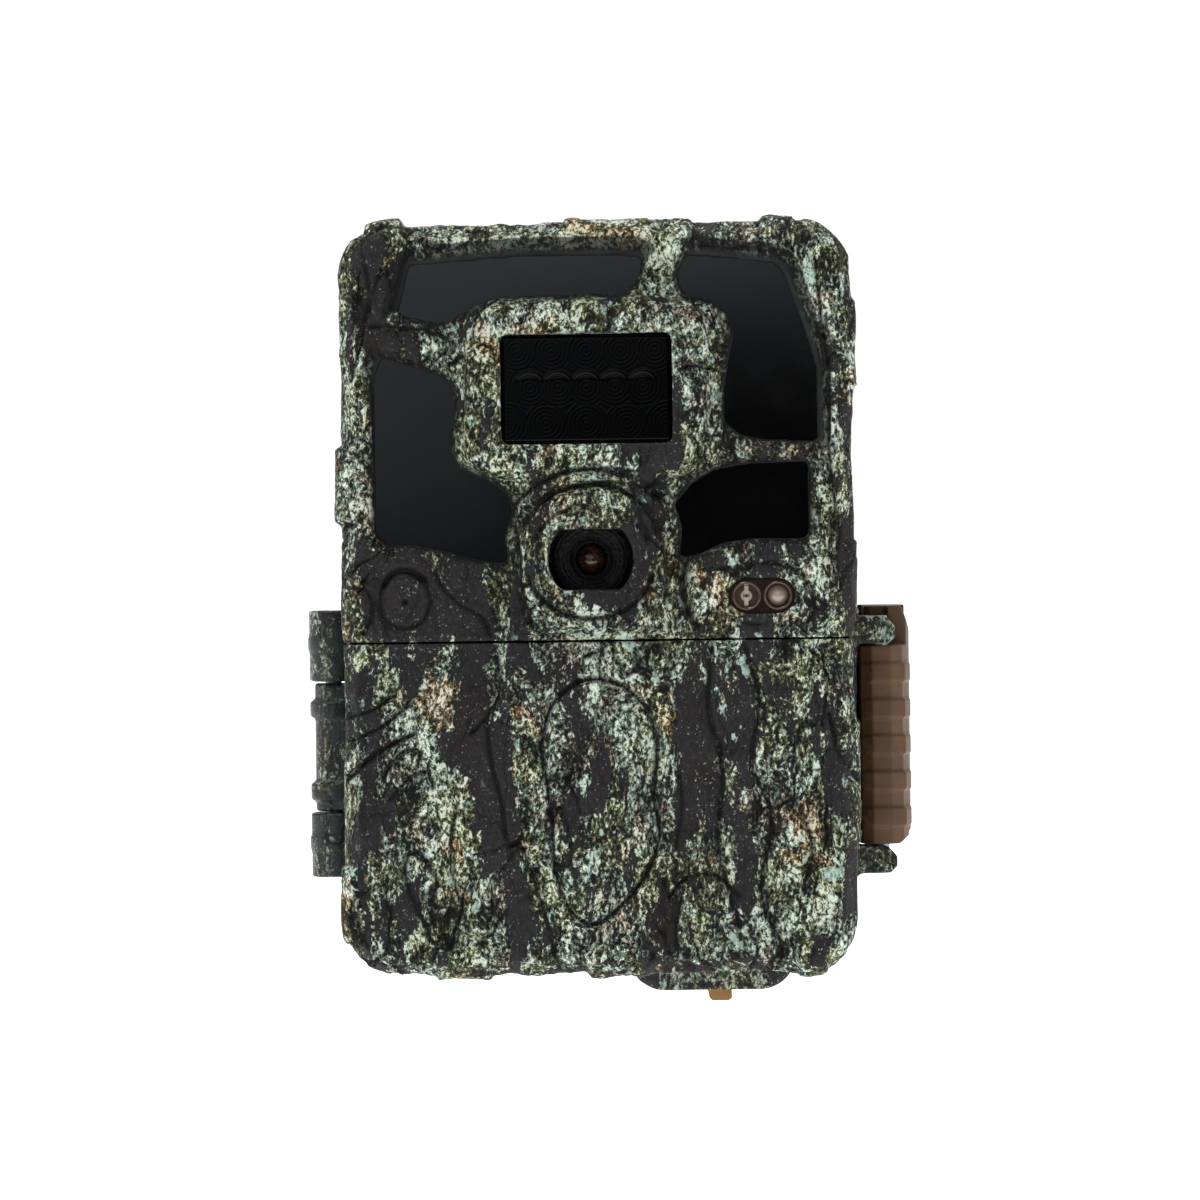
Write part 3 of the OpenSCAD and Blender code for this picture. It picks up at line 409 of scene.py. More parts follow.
def settle(piece, node, material, *also):
    """Gives a piece its material and body, and hides the CAD nodes that it stands for."""
    piece.data.materials.clear()
    piece.data.materials.append(material)
    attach(piece, BODY[node])
    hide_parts(node, *also)


def set_field(mesh, name, values):
    """Stores one number for each point, for a material to read."""
    field = mesh.attributes.new(name, "FLOAT", "POINT")
    field.data.foreach_set("value", np.asarray(values, np.float32))


def outline_depth(points):
    """How far each point lies inside the case's outline, seen from the front."""
    reach = np.abs(points[:, [0, 2]] - [0, TOP / 2]) - ([HALF_W - CORNER, TOP / 2 - CORNER])
    return CORNER - np.hypot(*np.maximum(reach, 0).T) - np.minimum(reach.max(1), 0)


def case_depth(points):
    """How far each point lies inside the case's outer skin, chamfered at the face and the back."""
    to_face = smooth_line(points[:, 1], FACE_Y, FACE_Y + CHAMFER_DEEP)
    to_back = smooth_line(points[:, 1], BACK_Y, BACK_Y - CHAMFER_DEEP)
    side = outline_depth(points) - CHAMFER * np.maximum(to_face, to_back)
    return np.minimum(side, np.minimum(points[:, 1] - FACE_Y, BACK_Y - points[:, 1]))


def smooth_line(value, full, none):
    """1 at full, 0 at none, and straight between."""
    return np.clip((value - none) / (full - none), 0, 1)


def nearest(points, targets):
    """Flat distance in x and z from each point to the nearest target, and that target."""
    tree = KDTree(len(targets))
    for i, (x, z) in enumerate(targets[:, [0, 2]]):
        tree.insert((x, 0, z), i)
    tree.balance()
    found = [tree.find((x, 0, z)) for x, z in points[:, [0, 2]]]
    return np.array([f[2] for f in found]), np.array([(f[0][0], f[0][2]) for f in found])


def within(points, low, high, room):
    """True for points in a node's front view, with some room round it."""
    flat = points[:, [0, 2]]
    above = flat > np.array(low)[[0, 2]] - room
    below = flat < np.array(high)[[0, 2]] + room
    return np.all(above & below, axis=1)


def edge_profile(points, edges):
    """Distance from the window edges, and how far each point is on the sloping outer wall."""
    gap, near = nearest(points, edges)
    away = points[:, [0, 2]] - near
    out = near - FACE_MIDDLE
    outward = (away * out).sum(1) / np.maximum(np.hypot(*away.T) * np.hypot(*out.T), 1e-6)
    reach = near[:, 1] + 14 * smooth_line(near[:, 0], 22, 4)
    return gap, smooth(0.45, 0.75, outward) * smooth(100, 107, reach)


def shape_face(piece):
    """Turns the bezel's flat plate and stepped housings into rounded, branch-like frames."""
    points, normals = arrays(piece.data)
    upright = np.abs(normals[:, 1]) < UPRIGHT
    deep = outline_depth(points)
    step = upright & (points[:, 1] > NOSE_Y + 0.6) & (points[:, 1] < FACE_Y - 0.6)
    in_pir = within(points, PIR_LOW, PIR_HIGH, PIR_ROOM)
    in_lens = np.hypot(*(points[:, [0, 2]] - LENS).T) < LENS_ROOM
    in_oval = within(points, OVAL_LOW, OVAL_HIGH, OVAL_ROOM)
    in_mic = np.hypot(*(points[:, [0, 2]] - MIC).T) < MIC_ROOM
    proud = points[:, 1] < FACE_Y
    edge, _ = nearest(points[proud], points[step & ~in_pir & ~in_lens])
    lift = np.sqrt(1 - (1 - smooth_line(edge, 4.2, 0.0)) ** 2)
    points[proud, 1] = FACE_Y + (points[proud, 1] - FACE_Y) * (0.04 + 0.96 * lift)
    wall = upright & (points[:, 1] > FACE_Y + 0.5) & (points[:, 1] < FACE_Y + 2.1) & (deep > 3.5)
    wall &= points[:, 2] > SEAM_Z + 3
    wall &= ~in_pir & ~in_lens & ~in_oval & ~in_mic
    front = points[:, 1] < FACE_Y + FACE_T + 0.2
    gap, slope = edge_profile(points[front], points[wall])
    round_edge = 2.0 * (1 - np.sqrt(1 - np.clip(1 - gap / 2.9, 0, 1) ** 2))
    flat_slope = 2.15 * np.clip(1 - gap / 3.3, 0, 1)
    drop = round_edge * (1 - slope) + flat_slope * slope
    hold = smooth_line(points[front, 1], FACE_Y - 0.2, FACE_Y + FACE_T)
    points[front, 1] += drop * hold
    put_points(piece.data, points)
    return points[wall]


def bark_relief(piece, grooves, calm=None, edges=None):
    """Moves the outer skin by the bark's height, and stores where cracks, hollows and window edges are,
    for painted shade there.
    """
    points, normals = arrays(piece.data)
    height, dark = bark(points, normals, grooves)
    depth = case_depth(points)
    skin = 1 - smooth(*SKIN, depth)
    skin *= smooth(0.2, 1.6, np.abs(points[:, 1] - PART_Y))
    beyond = smooth(0.35, 0.8, -depth) * (points[:, 1] > FACE_Y + 1)
    skin *= 1 - 0.85 * beyond
    if calm is not None:
        skin *= calm(points)
    # The crack mask and the relief height, from which the bark's material paints shade into cracks,
    # grooves and hollows
    set_field(piece.data, "crack", dark * skin)
    set_field(piece.data, "height", height * skin)
    # Painted shade on the window frames' rounded edges and sloping walls
    edge_shade = np.zeros(len(points))
    if edges is not None:
        gap, slope = edge_profile(points, edges)
        rounded = 0.9 * np.clip(1 - gap / 2.7, 0, 1) ** 1.3
        edge_shade = rounded * (1 - slope) + 0.8 * smooth(3.5, 3.1, gap) * slope
        edge_shade *= points[:, 1] < FACE_Y + FACE_T + 0.5
    set_field(piece.data, "edge", edge_shade)
    hinge = smooth(HALF_W + 0.4, HALF_W + 1.2, -points[:, 0])
    set_field(piece.data, "gloss", hinge)
    lichen = -0.35 * hinge
    for line, width, amount in LICHEN_BANDS:
        away = distance_to_line(points[:, [0, 2]], spline(line))
        lichen += amount * np.exp(-((away / width) ** 2))
    set_field(piece.data, "lichen", np.clip(lichen, -1.6, 1.6))
    set_field(piece.data, "inner", smooth(0.9, 1.6, depth))
    points += normals * (height * skin)[:, None]
    wall = (1 - smooth(*SKIN, depth)) * smooth(-1.4, -0.4, depth)
    behind_latch = smooth(*LATCH_Y, points[:, 1]) * smooth(*LATCH_FOOT, points[:, 2])
    wall *= 1 - behind_latch * smooth(*LATCH_HEAD, points[:, 2])
    latch_side = SIDE_IN[1] * smooth(*SIDE_RISE, points[:, 0])
    hinge_side = SIDE_IN[0] * smooth(*SIDE_RISE, -points[:, 0])
    points[:, 0] -= wall * (latch_side - hinge_side)
    put_points(piece.data, points)


def near_seams(points):
    """Keeps the relief off the seam between bezel and cover and off the edges of the small windows."""
    seam = smooth(0.15, 1.4, np.abs(points[:, 2] - SEAM_Z))
    flat = points[:, [0, 2]]
    middle = np.array([(PIR_LOW[0] + PIR_HIGH[0]) / 2, (PIR_LOW[2] + PIR_HIGH[2]) / 2])
    half = np.array([PIR_HIGH[0] - PIR_LOW[0], PIR_HIGH[2] - PIR_LOW[2]]) / 2
    pir = smooth(0.1, 2.4, (np.abs(flat - middle) - half).max(1))
    lens = smooth(8.2, 10.5, np.hypot(*(flat - LENS).T))
    oval_mid = np.array([(OVAL_LOW[0] + OVAL_HIGH[0]) / 2, (OVAL_LOW[2] + OVAL_HIGH[2]) / 2])
    over = np.maximum(np.abs(flat - oval_mid) - [2.75, 0], 0)
    oval = smooth(3.2, 5.0, np.hypot(*over.T))
    return (0.12 + 0.88 * seam) * (0.1 + 0.9 * pir) * (0.1 + 0.9 * lens) * (0.1 + 0.9 * oval)


# ---- Materials ----


def colour(code):
    """Linear colour from an sRGB code such as 3b3a3d."""
    parts = [int(code[i : i + 2], 16) / 255 for i in (0, 2, 4)]
    return tuple(c / 12.92 if c < 0.04045 else ((c + 0.055) / 1.055) ** 2.4 for c in parts) + (1.0,)


class Finish:
    """A material's node tree, with short calls for the nodes used here."""

    def __init__(self, name, **sockets):
        self.material = bpy.data.materials.new(name)
        self.material.use_nodes = True
        self.tree = self.material.node_tree
        self.shader = self.tree.nodes["Principled BSDF"]
        for key, value in sockets.items():
            socket = key.replace("_", " ").title().replace("Ior", "IOR")
            self.shader.inputs[socket].default_value = value

    def node(self, kind, inputs, **settings):
        made = self.tree.nodes.new(kind)
        for key, value in settings.items():
            setattr(made, key, value)
        for key, value in inputs.items():
            self.feed(made.inputs[key], value)
        return made

    def feed(self, socket, value):
        if isinstance(value, bpy.types.NodeSocket):
            self.tree.links.new(value, socket)
        else:
            socket.default_value = value

    def place(self, scale=(1, 1, 1), turn=(0, 0, 0)):
        """The piece's own coordinates in millimetres, scaled."""
        where = self.tree.nodes.new("ShaderNodeTexCoord").outputs["Object"]
        inputs = {"Vector": where, "Scale": [s / MM for s in scale], "Rotation": turn}
        return self.node("ShaderNodeMapping", inputs).outputs[0]

    def noise(self, where, scale=1.0, detail=2.0, rough=0.5, bend=0.0, part="Fac"):
        made = self.node(
            "ShaderNodeTexNoise",
            {"Vector": where, "Scale": scale, "Detail": detail, "Roughness": rough, "Distortion": bend},
        )
        return made.outputs[part]

    def cells(self, where, scale, feature="F1", spread=1.0):
        made = self.node(
            "ShaderNodeTexVoronoi",
            {"Vector": where, "Scale": scale, "Randomness": spread},
            feature=feature,
        )
        return made.outputs["Distance"]

    def span(self, value, low, high, to_low=0.0, to_high=1.0):
        made = self.node(
            "ShaderNodeMapRange",
            {"Value": value, "From Min": low, "From Max": high, "To Min": to_low, "To Max": to_high},
            interpolation_type="SMOOTHSTEP",
        )
        return made.outputs["Result"]

    def maths(self, kind, a, b=0.0):
        return self.node("ShaderNodeMath", {0: a, 1: b}, operation=kind).outputs[0]

    def mix(self, share, a, b):
        made = self.node("ShaderNodeMix", {}, data_type="RGBA")
        for index, value in ((0, share), (6, a), (7, b)):
            self.feed(made.inputs[index], value)
        return made.outputs[2]

    def vector(self, kind, inputs):
        return self.node("ShaderNodeVectorMath", inputs, operation=kind).outputs[0]

    def shift(self, where, amount, by):
        """Bends a place by a noise colour."""
        centred = self.vector("SUBTRACT", {0: by, 1: (0.5, 0.5, 0.5)})
        scaled = self.vector("SCALE", {0: centred, "Scale": amount})
        return self.vector("ADD", {0: where, 1: scaled})

    def from_axis(self, x, z):
        """How far a point is sideways of, and away from, a line along Y through x and z."""
        split = self.node("ShaderNodeSeparateXYZ", {"Vector": self.place()})
        side = self.maths("SUBTRACT", split.outputs["X"], float(x))
        up = self.maths("SUBTRACT", split.outputs["Z"], float(z))
        squares = self.maths("ADD", self.maths("MULTIPLY", side, side), self.maths("MULTIPLY", up, up))
        return side, self.maths("SQRT", squares)

    def field(self, name):
        return self.node("ShaderNodeAttribute", {}, attribute_name=name).outputs["Fac"]

    def bump(self, height, strength, deep):
        made = self.node(
            "ShaderNodeBump", {"Height": height, "Strength": strength, "Distance": deep * MM}
        )
        self.feed(self.shader.inputs["Normal"], made.outputs[0])

    def base(self, value):
        self.feed(self.shader.inputs["Base Color"], value)

    def roughness(self, value):
        self.feed(self.shader.inputs["Roughness"], value)


def bark_finish(name, lichen=1.0, shine=0.0):
    """Charcoal bark with granular lichen in mint, olive and tan, rust flecks, thin printed black cracks,
    and painted shade in the relief's cracks, grooves, hollows and window edges and between the lichen
    granules.
    """
    f = Finish(name)
    plain = f.place()
    tall = f.place((1, 1, 0.55))
    wander = f.noise(f.place((0.1, 0.1, 0.06)), 1, 3, 0.55, part="Color")
    granules = f.noise(f.shift(f.place((1, 1, 0.72)), 3.0, wander), 1.6, 4.5, 0.72, 0.3)
    coarse = f.noise(f.shift(tall, 5.0, wander), 0.42, 3, 0.6)
    heights = f.maths("MULTIPLY", granules, 0.68)
    lichen_heights = f.maths("ADD", heights, f.maths("MULTIPLY", coarse, 0.32))
    thick = f.field("lichen")
    # Where lichen grows: upright drifts of patches
    patches = f.noise(f.shift(f.place((1, 1, 0.3)), 9.0, wander), 0.15, 5, 0.62)
    patches = f.maths("ADD", patches, f.maths("MULTIPLY", thick, 0.085))
    cover = f.span(patches, 0.42, 0.565)
    # Ground: charcoal plates with a faint grain and a few browner areas
    grain = f.noise(tall, 2.2, 4, 0.7)
    plates = f.noise(f.shift(tall, 5.0, wander), 0.2, 4, 0.6)
    ground = f.mix(f.span(grain, 0.25, 0.8), colour("101011"), colour("2f2d2f"))
    ground = f.mix(f.span(plates, 0.35, 0.7, 0.0, 0.6), ground, colour("1b191b"))
    brown = f.span(f.noise(plain, 0.05, 3, 0.6), 0.48, 0.66)
    ground = f.mix(f.maths("MULTIPLY", brown, 0.6), ground, colour("1d1510"))
    specks = f.span(f.noise(plain, 1.9, 2, 0.55), 0.65, 0.71)
    ground = f.mix(f.maths("MULTIPLY", specks, 0.6), ground, colour("8a908a"))
    # Lichen hues
    hue = f.noise(f.shift(plain, 7.0, wander), 0.12, 3, 0.62)
    light = f.mix(f.span(hue, 0.46, 0.53), colour("868c57"), colour("9db39e"))
    light = f.mix(f.span(hue, 0.57, 0.64), light, colour("968a72"))
    rust = f.span(f.noise(f.shift(plain, 5.0, wander), 0.085, 3, 0.62), 0.575, 0.63)
    light = f.mix(f.maths("MULTIPLY", rust, 0.75), light, colour("a8792c"))
    bright = f.mix(0.6, light, colour("ecf4e8"))
    # Lichen crust: near black where the granules lie low, which is painted shade between them, and its
    # own olive, mint and white tones higher up
    dense = f.maths("ADD", lichen_heights, f.maths("MULTIPLY", thick, 0.026))
    low = f.span(dense, 0.42, 0.485)
    middle = f.span(dense, 0.48, 0.53)
    high = f.span(dense, 0.535, 0.585)
    crust_and_shade = f.mix(low, colour("020202"), colour("242520"))
    crust_and_shade = f.mix(middle, crust_and_shade, f.mix(0.52, light, colour("1c1c18")))
    crust_and_shade = f.mix(high, crust_and_shade, bright)
    need = f.maths("SUBTRACT", 0.76, f.maths("MULTIPLY", cover, 0.62))
    grown = f.span(f.maths("SUBTRACT", f.maths("ADD", lichen_heights, 0.12), need), -0.03, 0.05)
    skin = f.mix(f.maths("MULTIPLY", grown, lichen), ground, crust_and_shade)
    # Solid mint blotches
    blotch = f.span(f.noise(f.shift(tall, 4.0, wander), 0.25, 4, 0.66), 0.63, 0.665)
    blotch = f.maths("MULTIPLY", blotch, f.span(granules, 0.38, 0.5, 0.1, 1.0))
    blotch = f.maths("MULTIPLY", blotch, f.span(thick, -0.7, -0.1))
    skin = f.mix(f.maths("MULTIPLY", blotch, 0.85 * lichen), skin, colour("a9c3b7"))
    # Cracks: painted shade in the relief's cracks and grooves, and thin printed ones
    lines = f.cells(f.shift(f.place((1, 1, 0.4)), 6.0, wander), 0.17, "DISTANCE_TO_EDGE")
    printed = f.span(lines, 0.0, 0.03, 0.8, 0.0)
    printed = f.maths("MULTIPLY", printed, f.span(f.noise(plain, 0.09, 2, 0.5), 0.42, 0.58))
    crack = f.maths("MAXIMUM", printed, f.maths("MULTIPLY", f.field("crack"), 0.95))
    # Painted shade: darker in the relief's low hollows and on the window frames' rounded edges and
    # sloping walls
    hollow_shade = f.span(f.field("height"), 0.5, -1.1, 0.0, 0.6)
    edge = f.span(f.field("edge"), 0.05, 0.8, 0.0, 0.85)
    skin = f.mix(f.maths("MAXIMUM", hollow_shade, edge), skin, colour("0c0c0d"))
    # The hinge: washed-out and glossier
    gloss = f.field("gloss")
    streaks = f.noise(f.place((1, 1, 0.6)), 0.22, 5, 0.7)
    wash = f.maths("MULTIPLY", gloss, f.span(streaks, 0.42, 0.58, 0.7, 0.05))
    skin = f.mix(wash, skin, colour("26302d"))
    # Near-black cracks: the printed lines and the painted shade in the relief's cracks and grooves
    skin = f.mix(crack, skin, colour("060606"))
    # Inner faces: plain plastic
    tone = f.span(f.noise(plain, 0.15, 3, 0.6), 0.35, 0.7)
    plastic = f.mix(tone, colour("191a1a"), colour("232424"))
    inner = f.field("inner")
    f.base(f.mix(inner, skin, plastic))
    dull = f.span(granules, 0.3, 0.7, 0.6 - shine, 0.42 - shine)
    f.roughness(f.maths("SUBTRACT", dull, f.maths("MULTIPLY", gloss, 0.2)))
    f.shader.inputs["Specular IOR Level"].default_value = 0.12 + shine
    lift = f.maths("MULTIPLY", f.maths("MULTIPLY", lichen_heights, grown), 1.6)
    lift = f.maths("ADD", lift, f.maths("MULTIPLY", grain, 0.25))
    lift = f.maths("MULTIPLY", lift, f.span(inner, 1.0, 0.0, 0.1, 1.0))
    f.bump(lift, 1.0, 0.5)
    return f.material


def scaled_tone(tone, factor, more=0.0):
    """A colour times a factor, with a little white added."""
    return tuple(min(1, c * factor + more) for c in tone[:3]) + (1.0,)


def moulded(name, code, rough=0.5, grain=0.25, second=None, **sockets):
    """Moulded plastic or rubber: fine spark grain, slight tone drift, and scuffed edges."""
    f = Finish(name, **sockets)
    tone = f.noise(f.place(), 0.12, 4, 0.6)
    fine = f.noise(f.place(), 3.2, 3, 0.6)
    first = colour(code)
    other = colour(second) if second else scaled_tone(first, 1.35, 0.004)
    skin = f.mix(f.span(tone, 0.35, 0.7), first, other)
    worn = f.node("ShaderNodeNewGeometry", {}).outputs["Pointiness"]
    scuffs = f.span(f.noise(f.place(), 0.8, 3, 0.6), 0.4, 0.65)
    edge = f.maths("MULTIPLY", f.span(worn, 0.515, 0.56), scuffs)
    f.base(f.mix(f.maths("MULTIPLY", edge, 0.5), skin, scaled_tone(first, 1.9, 0.02)))
    f.roughness(f.span(fine, 0.3, 0.7, rough - 0.07, rough + 0.07))
    f.bump(fine, grain, 0.06)
    return f.material


def metal(name, code, rough=0.32):
    """Plated or turned metal, finely brushed, with a few darker spots."""
    f = Finish(name, metallic=1.0)
    brushed = f.noise(f.place((0.4, 0.4, 6)), 1.2, 3, 0.6)
    stain = f.span(f.noise(f.place(), 0.45, 3, 0.6), 0.52, 0.72)
    first = colour(code)
    f.base(f.mix(f.maths("MULTIPLY", stain, 0.45), first, scaled_tone(first, 0.55)))
    f.roughness(f.span(brushed, 0.3, 0.7, rough - 0.08, rough + 0.12))
    f.bump(brushed, 0.15, 0.02)
    return f.material


def polished(name, code, rough=0.08, dust=0.5, **sockets):
    """Glossy acrylic or glass front, with faint dust that dulls it here and there."""
    f = Finish(name, **sockets)
    haze = f.noise(f.place(), 0.07, 4, 0.65)
    specks = f.span(f.noise(f.place(), 2.4, 1, 0.5), 0.76, 0.8)
    first = colour(code)
    f.base(f.mix(f.maths("MULTIPLY", specks, 0.10 * dust), first, colour("8f9290")))
    f.roughness(f.span(haze, 0.35, 0.75, rough, rough + 0.1 * dust))
    return f.material


def glass_finish(name):
    """Coated lens: dark, with painted reflections in its colour, a brownish middle going darker outwards
    and broken warm amber patches over it.
    """
    f = Finish(name, roughness=0.03, coat_weight=1.0, coat_roughness=0.02)
    _, away = f.from_axis(*LENS)
    broken = f.noise(f.place((1, 1, 2.6)), 0.9, 3, 0.7, 0.6)
    amber_reflection = f.maths("MULTIPLY", f.span(away, 2.5, 1.7), f.span(broken, 0.42, 0.6))
    skin = f.mix(f.span(away, 1.2, 2.9), colour("2a1712"), colour("0a0607"))
    f.base(f.mix(amber_reflection, skin, colour("7d4a30")))
    return f.material


def eye_finish(name):
    """The light sensor behind its brown window: a pale upright bar with a ring round its middle."""
    f = Finish(name, roughness=0.2, specular_ior_level=0.3)
    middle = sum(box_mm("light_sensor")) / 2
    side, away = f.from_axis(middle[0], middle[2])
    bar = f.span(f.maths("ABSOLUTE", side), 0.42, 0.3)
    ring_line = f.span(f.maths("ABSOLUTE", f.maths("SUBTRACT", away, 0.75)), 0.3, 0.14)
    shape = f.maths("MULTIPLY", f.maths("MAXIMUM", bar, ring_line), f.span(away, 0.25, 0.4))
    shade = f.mix(f.noise(f.place(), 1.4, 2, 0.5), colour("32231c"), colour("4c3a31"))
    f.base(f.mix(f.maths("MULTIPLY", shape, 0.8), shade, colour("b3a79f")))
    return f.material


def board_finish(name):
    """Green solder mask over copper tracks, with tinned pads."""
    f = Finish(name)
    place = f.place()
    tracks = f.node(
        "ShaderNodeTexBrick",
        {
            "Vector": f.place((1, 1, 1), (math.pi / 2, 0, 0)),
            "Scale": 0.42,
            "Mortar Size": 0.035,
            "Brick Width": 2.6,
            "Row Height": 0.9,
        },
    ).outputs["Fac"]
    pads = f.span(f.cells(place, 0.36, spread=0.55), 0.22, 0.26, 1.0, 0.0)
    tone = f.noise(place, 0.2, 3, 0.6)
    mask = f.mix(tone, colour("0b3b22"), colour("12502f"))
    mask = f.mix(tracks, mask, colour("2c7a4a"))
    f.base(f.mix(pads, mask, colour("b9b9ae")))
    f.roughness(f.span(pads, 0, 1, 0.38, 0.25))
    f.bump(f.maths("ADD", tracks, pads), 0.3, 0.05)
    return f.material


def wrap_finish(name):
    """A cell's printed sleeve: black with a copper-coloured shoulder and bare steel ends."""
    f = Finish(name, metallic=0.6)
    low, high = box_mm("battery_cells")
    up = f.node("ShaderNodeSeparateXYZ", {"Vector": f.place()}).outputs["Z"]
    middle = (low[2] + high[2]) / 2
    away = f.maths("ABSOLUTE", f.maths("SUBTRACT", up, float(middle)))
    band = f.span(away, 15.6, 15.9)
    cap = f.span(away, 23.6, 23.8)
    scuff = f.noise(f.place(), 0.5, 4, 0.6)
    body = f.mix(scuff, colour("1a1b1d"), colour("2c2d31"))
    body = f.mix(band, body, colour("9a6a3c"))
    f.base(f.mix(cap, body, colour("b9bbbd")))
    f.roughness(f.span(scuff, 0.3, 0.7, 0.28, 0.42))
    return f.material


BARK = bark_finish("bark_camouflage")
BARK_SIDE = bark_finish("bark_camouflage_sides", 0.85, 0.1)
FINISHES = {
    "bracket_plastic": moulded("bracket_plastic", "2b2c2b", 0.5, 0.3, "343634"),
    "brown_plastic": moulded("brown_plastic", "4c3522", 0.5, 0.35, "59412c", specular_ior_level=0.25),
    "black_plastic": moulded("black_plastic", "131315", 0.5, 0.25),
    "smoked_window": polished("smoked_window", "020202", 0.07, 0.35),
    "sensor_window": polished("sensor_window", "000000", 0.14, 0.05, specular_ior_level=0.12),
    "brown_window": polished("brown_window", "1b110d", 0.12, 0.3),
    "clear_window": polished("clear_window", "08080a", 0.03, 0.2, alpha=0.16),
    "lens_glass": glass_finish("lens_glass"),
    "emitter_epoxy": polished("emitter_epoxy", "1a1220", 0.12, 0.2),
    "milky_epoxy": polished("milky_epoxy", "857568", 0.12, 0.3, coat_weight=1.0),
    "board": board_finish("board"),
    "screen": polished("screen", "101316", 0.1, 0.4),
    "black_rubber": moulded("black_rubber", "171717", 0.75, 0.3),
    "brown_rubber": moulded("brown_rubber", "7b5624", 0.6, 0.3, "8f6730"),
    "steel": metal("steel", "8f8f8d", 0.38),
    "brass": metal("brass", "c69c54", 0.26),
    "cell_wrap": wrap_finish("cell_wrap"),
    "ribbon": moulded("ribbon", "b8bac0", 0.5, 0.2),
}

# ---- Shells ----

CELL = 0.42


def make_bezel():
    """The bark-covered upper face, with its window frames rounded."""
    piece = copy_of("front_bezel", "bezel_shell")
    remesh(piece, CELL)
    edges = shape_face(piece)
    remesh(piece, CELL, 2)
    bark_relief(piece, FACE_GROOVES, near_seams, edges)
    settle(piece, "front_bezel", BARK)


def make_shell(node, rounds, grooves, material, calm=None):
    """A bark-covered shell from a CAD node."""
    piece = copy_of(node, f"{node}_shell")
    remesh(piece, CELL, rounds)
    bark_relief(piece, grooves, calm)
    settle(piece, node, material)


def make_moulded(node, cell):
    """A moulded copy of a CAD node with softened edges."""
    piece = copy_of(node, f"{node}_moulding")
    remesh(piece, cell, 2)
    settle(piece, node, FINISHES[SLOT[node]])


def make_pir_lens():
    """The motion sensor's window: a thin plate with the rings of its Fresnel lenses moulded in."""
    step = 0.16
    low, high = PIR_LOW + [0.05, 0, 0.05], PIR_HIGH - [0.05, 0, 0.05]
    across = int((high[0] - low[0]) / step)
    up = int((high[2] - low[2]) / step)
    x, z = np.meshgrid(np.linspace(low[0], high[0], across), np.linspace(low[2], high[2], up))
    middle = (low + high) / 2
    thick = 0.14
    # Rows of lenses, as (height, pitch, radius of the ridge, strength)
    rows = [
        (middle[2] + 0.4, 4.9, 2.5, 1.0),
        (middle[2] + 6.6, 6.0, 3.0, 0.12),
        (middle[2] - 6.0, 7.0, 3.6, 0.06),
    ]
    radius = np.full_like(x, 1e9)
    rings = np.zeros_like(x)
    for row_z, pitch, ridge, share in rows:
        for i in range(-2, 3):
            away = np.hypot(x - middle[0] - i * pitch, z - row_z)
            closer = away < radius
            radius = np.where(closer, away, radius)
            upper = smooth(0.9, 1.8, z - row_z) * share
            outer = np.exp(-(((away - ridge) / thick) ** 2))
            inner = np.exp(-(((away - ridge + 0.7) / thick) ** 2))
            rings = np.where(closer, (outer + 0.5 * inner) * upper, rings)
    fine = 0.003 * np.sin(radius * 9)
    rim = np.minimum(np.minimum(x - low[0], high[0] - x), np.minimum(z - low[2], high[2] - z))
    flat = smooth(0.3, 0.9, rim)
    y = low[1] + 0.15 - (0.1 * rings + fine) * flat + 0.3 * smooth(0.5, 0.0, rim)
    front = np.stack([x, y, z], -1).reshape(-1, 3)
    back = np.stack([x, np.full_like(x, high[1]), z], -1).reshape(-1, 3)
    index = np.arange(across * up).reshape(up, across)
    quads = np.stack([index[:-1, :-1], index[:-1, 1:], index[1:, 1:], index[1:, :-1]], -1).reshape(-1, 4)
    border = np.concatenate([index[0, :-1], index[:-1, -1], index[-1, :0:-1], index[:0:-1, 0]])
    after = np.roll(border, -1)
    count = across * up
    sides = np.stack([after, border, border + count, after + count], -1)
    faces = np.concatenate([quads, quads[:, ::-1] + count, sides])
    mesh = bpy.data.meshes.new("pir_fresnel_window")
    mesh.from_pydata((np.concatenate([front, back]) * MM).tolist(), [], faces.tolist())
    mesh.shade_smooth()
    piece = add_object("pir_fresnel_window", mesh)
    settle(piece, "pir_lens", FINISHES["sensor_window"])


def lathe(name, centre, profile, turns=72):
    """A solid ring round the Y axis through centre, from a closed profile of (radius, y)."""
    count = len(profile)
    points, faces = [], []
    for i in range(turns):
        turn = 2 * math.pi * i / turns
        points += [
            ((centre[0] + r * math.cos(turn)) * MM, y * MM, (centre[1] + r * math.sin(turn)) * MM)
            for r, y in profile
        ]
        for j in range(count):
            a, b = i * count + j, i * count + (j + 1) % count
            c, d = ((i + 1) % turns) * count + (j + 1) % count, ((i + 1) % turns) * count + j
            faces.append((a, b, c, d))
    mesh = bpy.data.meshes.new(name)
    mesh.from_pydata(points, [], faces)
    mesh.shade_smooth()
    return add_object(name, mesh)


def round_profile(radius, y, thick, deep, steps=12):
    """An oval section, thick across and deep along Y, for a ring of some radius."""
    turns = [2 * math.pi * i / steps for i in range(steps)]
    return [(radius + thick * math.cos(t), y + deep * math.sin(t)) for t in turns]


def add_ring(name, node, centre, radius, y, thick, deep, finish, slot):
    """A small ring that rides with a CAD node's body."""
    piece = lathe(name, centre, round_profile(radius, y, thick, deep))
    piece.data.materials.append(finish)
    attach(piece, BODY[node])


def make_lens_rings():
    """The stepped rings inside the lens hood."""
    front = box_mm("lens_hood")[0][1]
    dark = moulded("lens_ring_black", "1a1210", 0.2, 0.01)
    for i, (radius, deep) in enumerate(LENS_RINGS):
        y = front + deep
        add_ring(f"lens_ring_{i}", "lens_hood", LENS, radius, y, 0.16, 0.16, dark, "black_plastic")


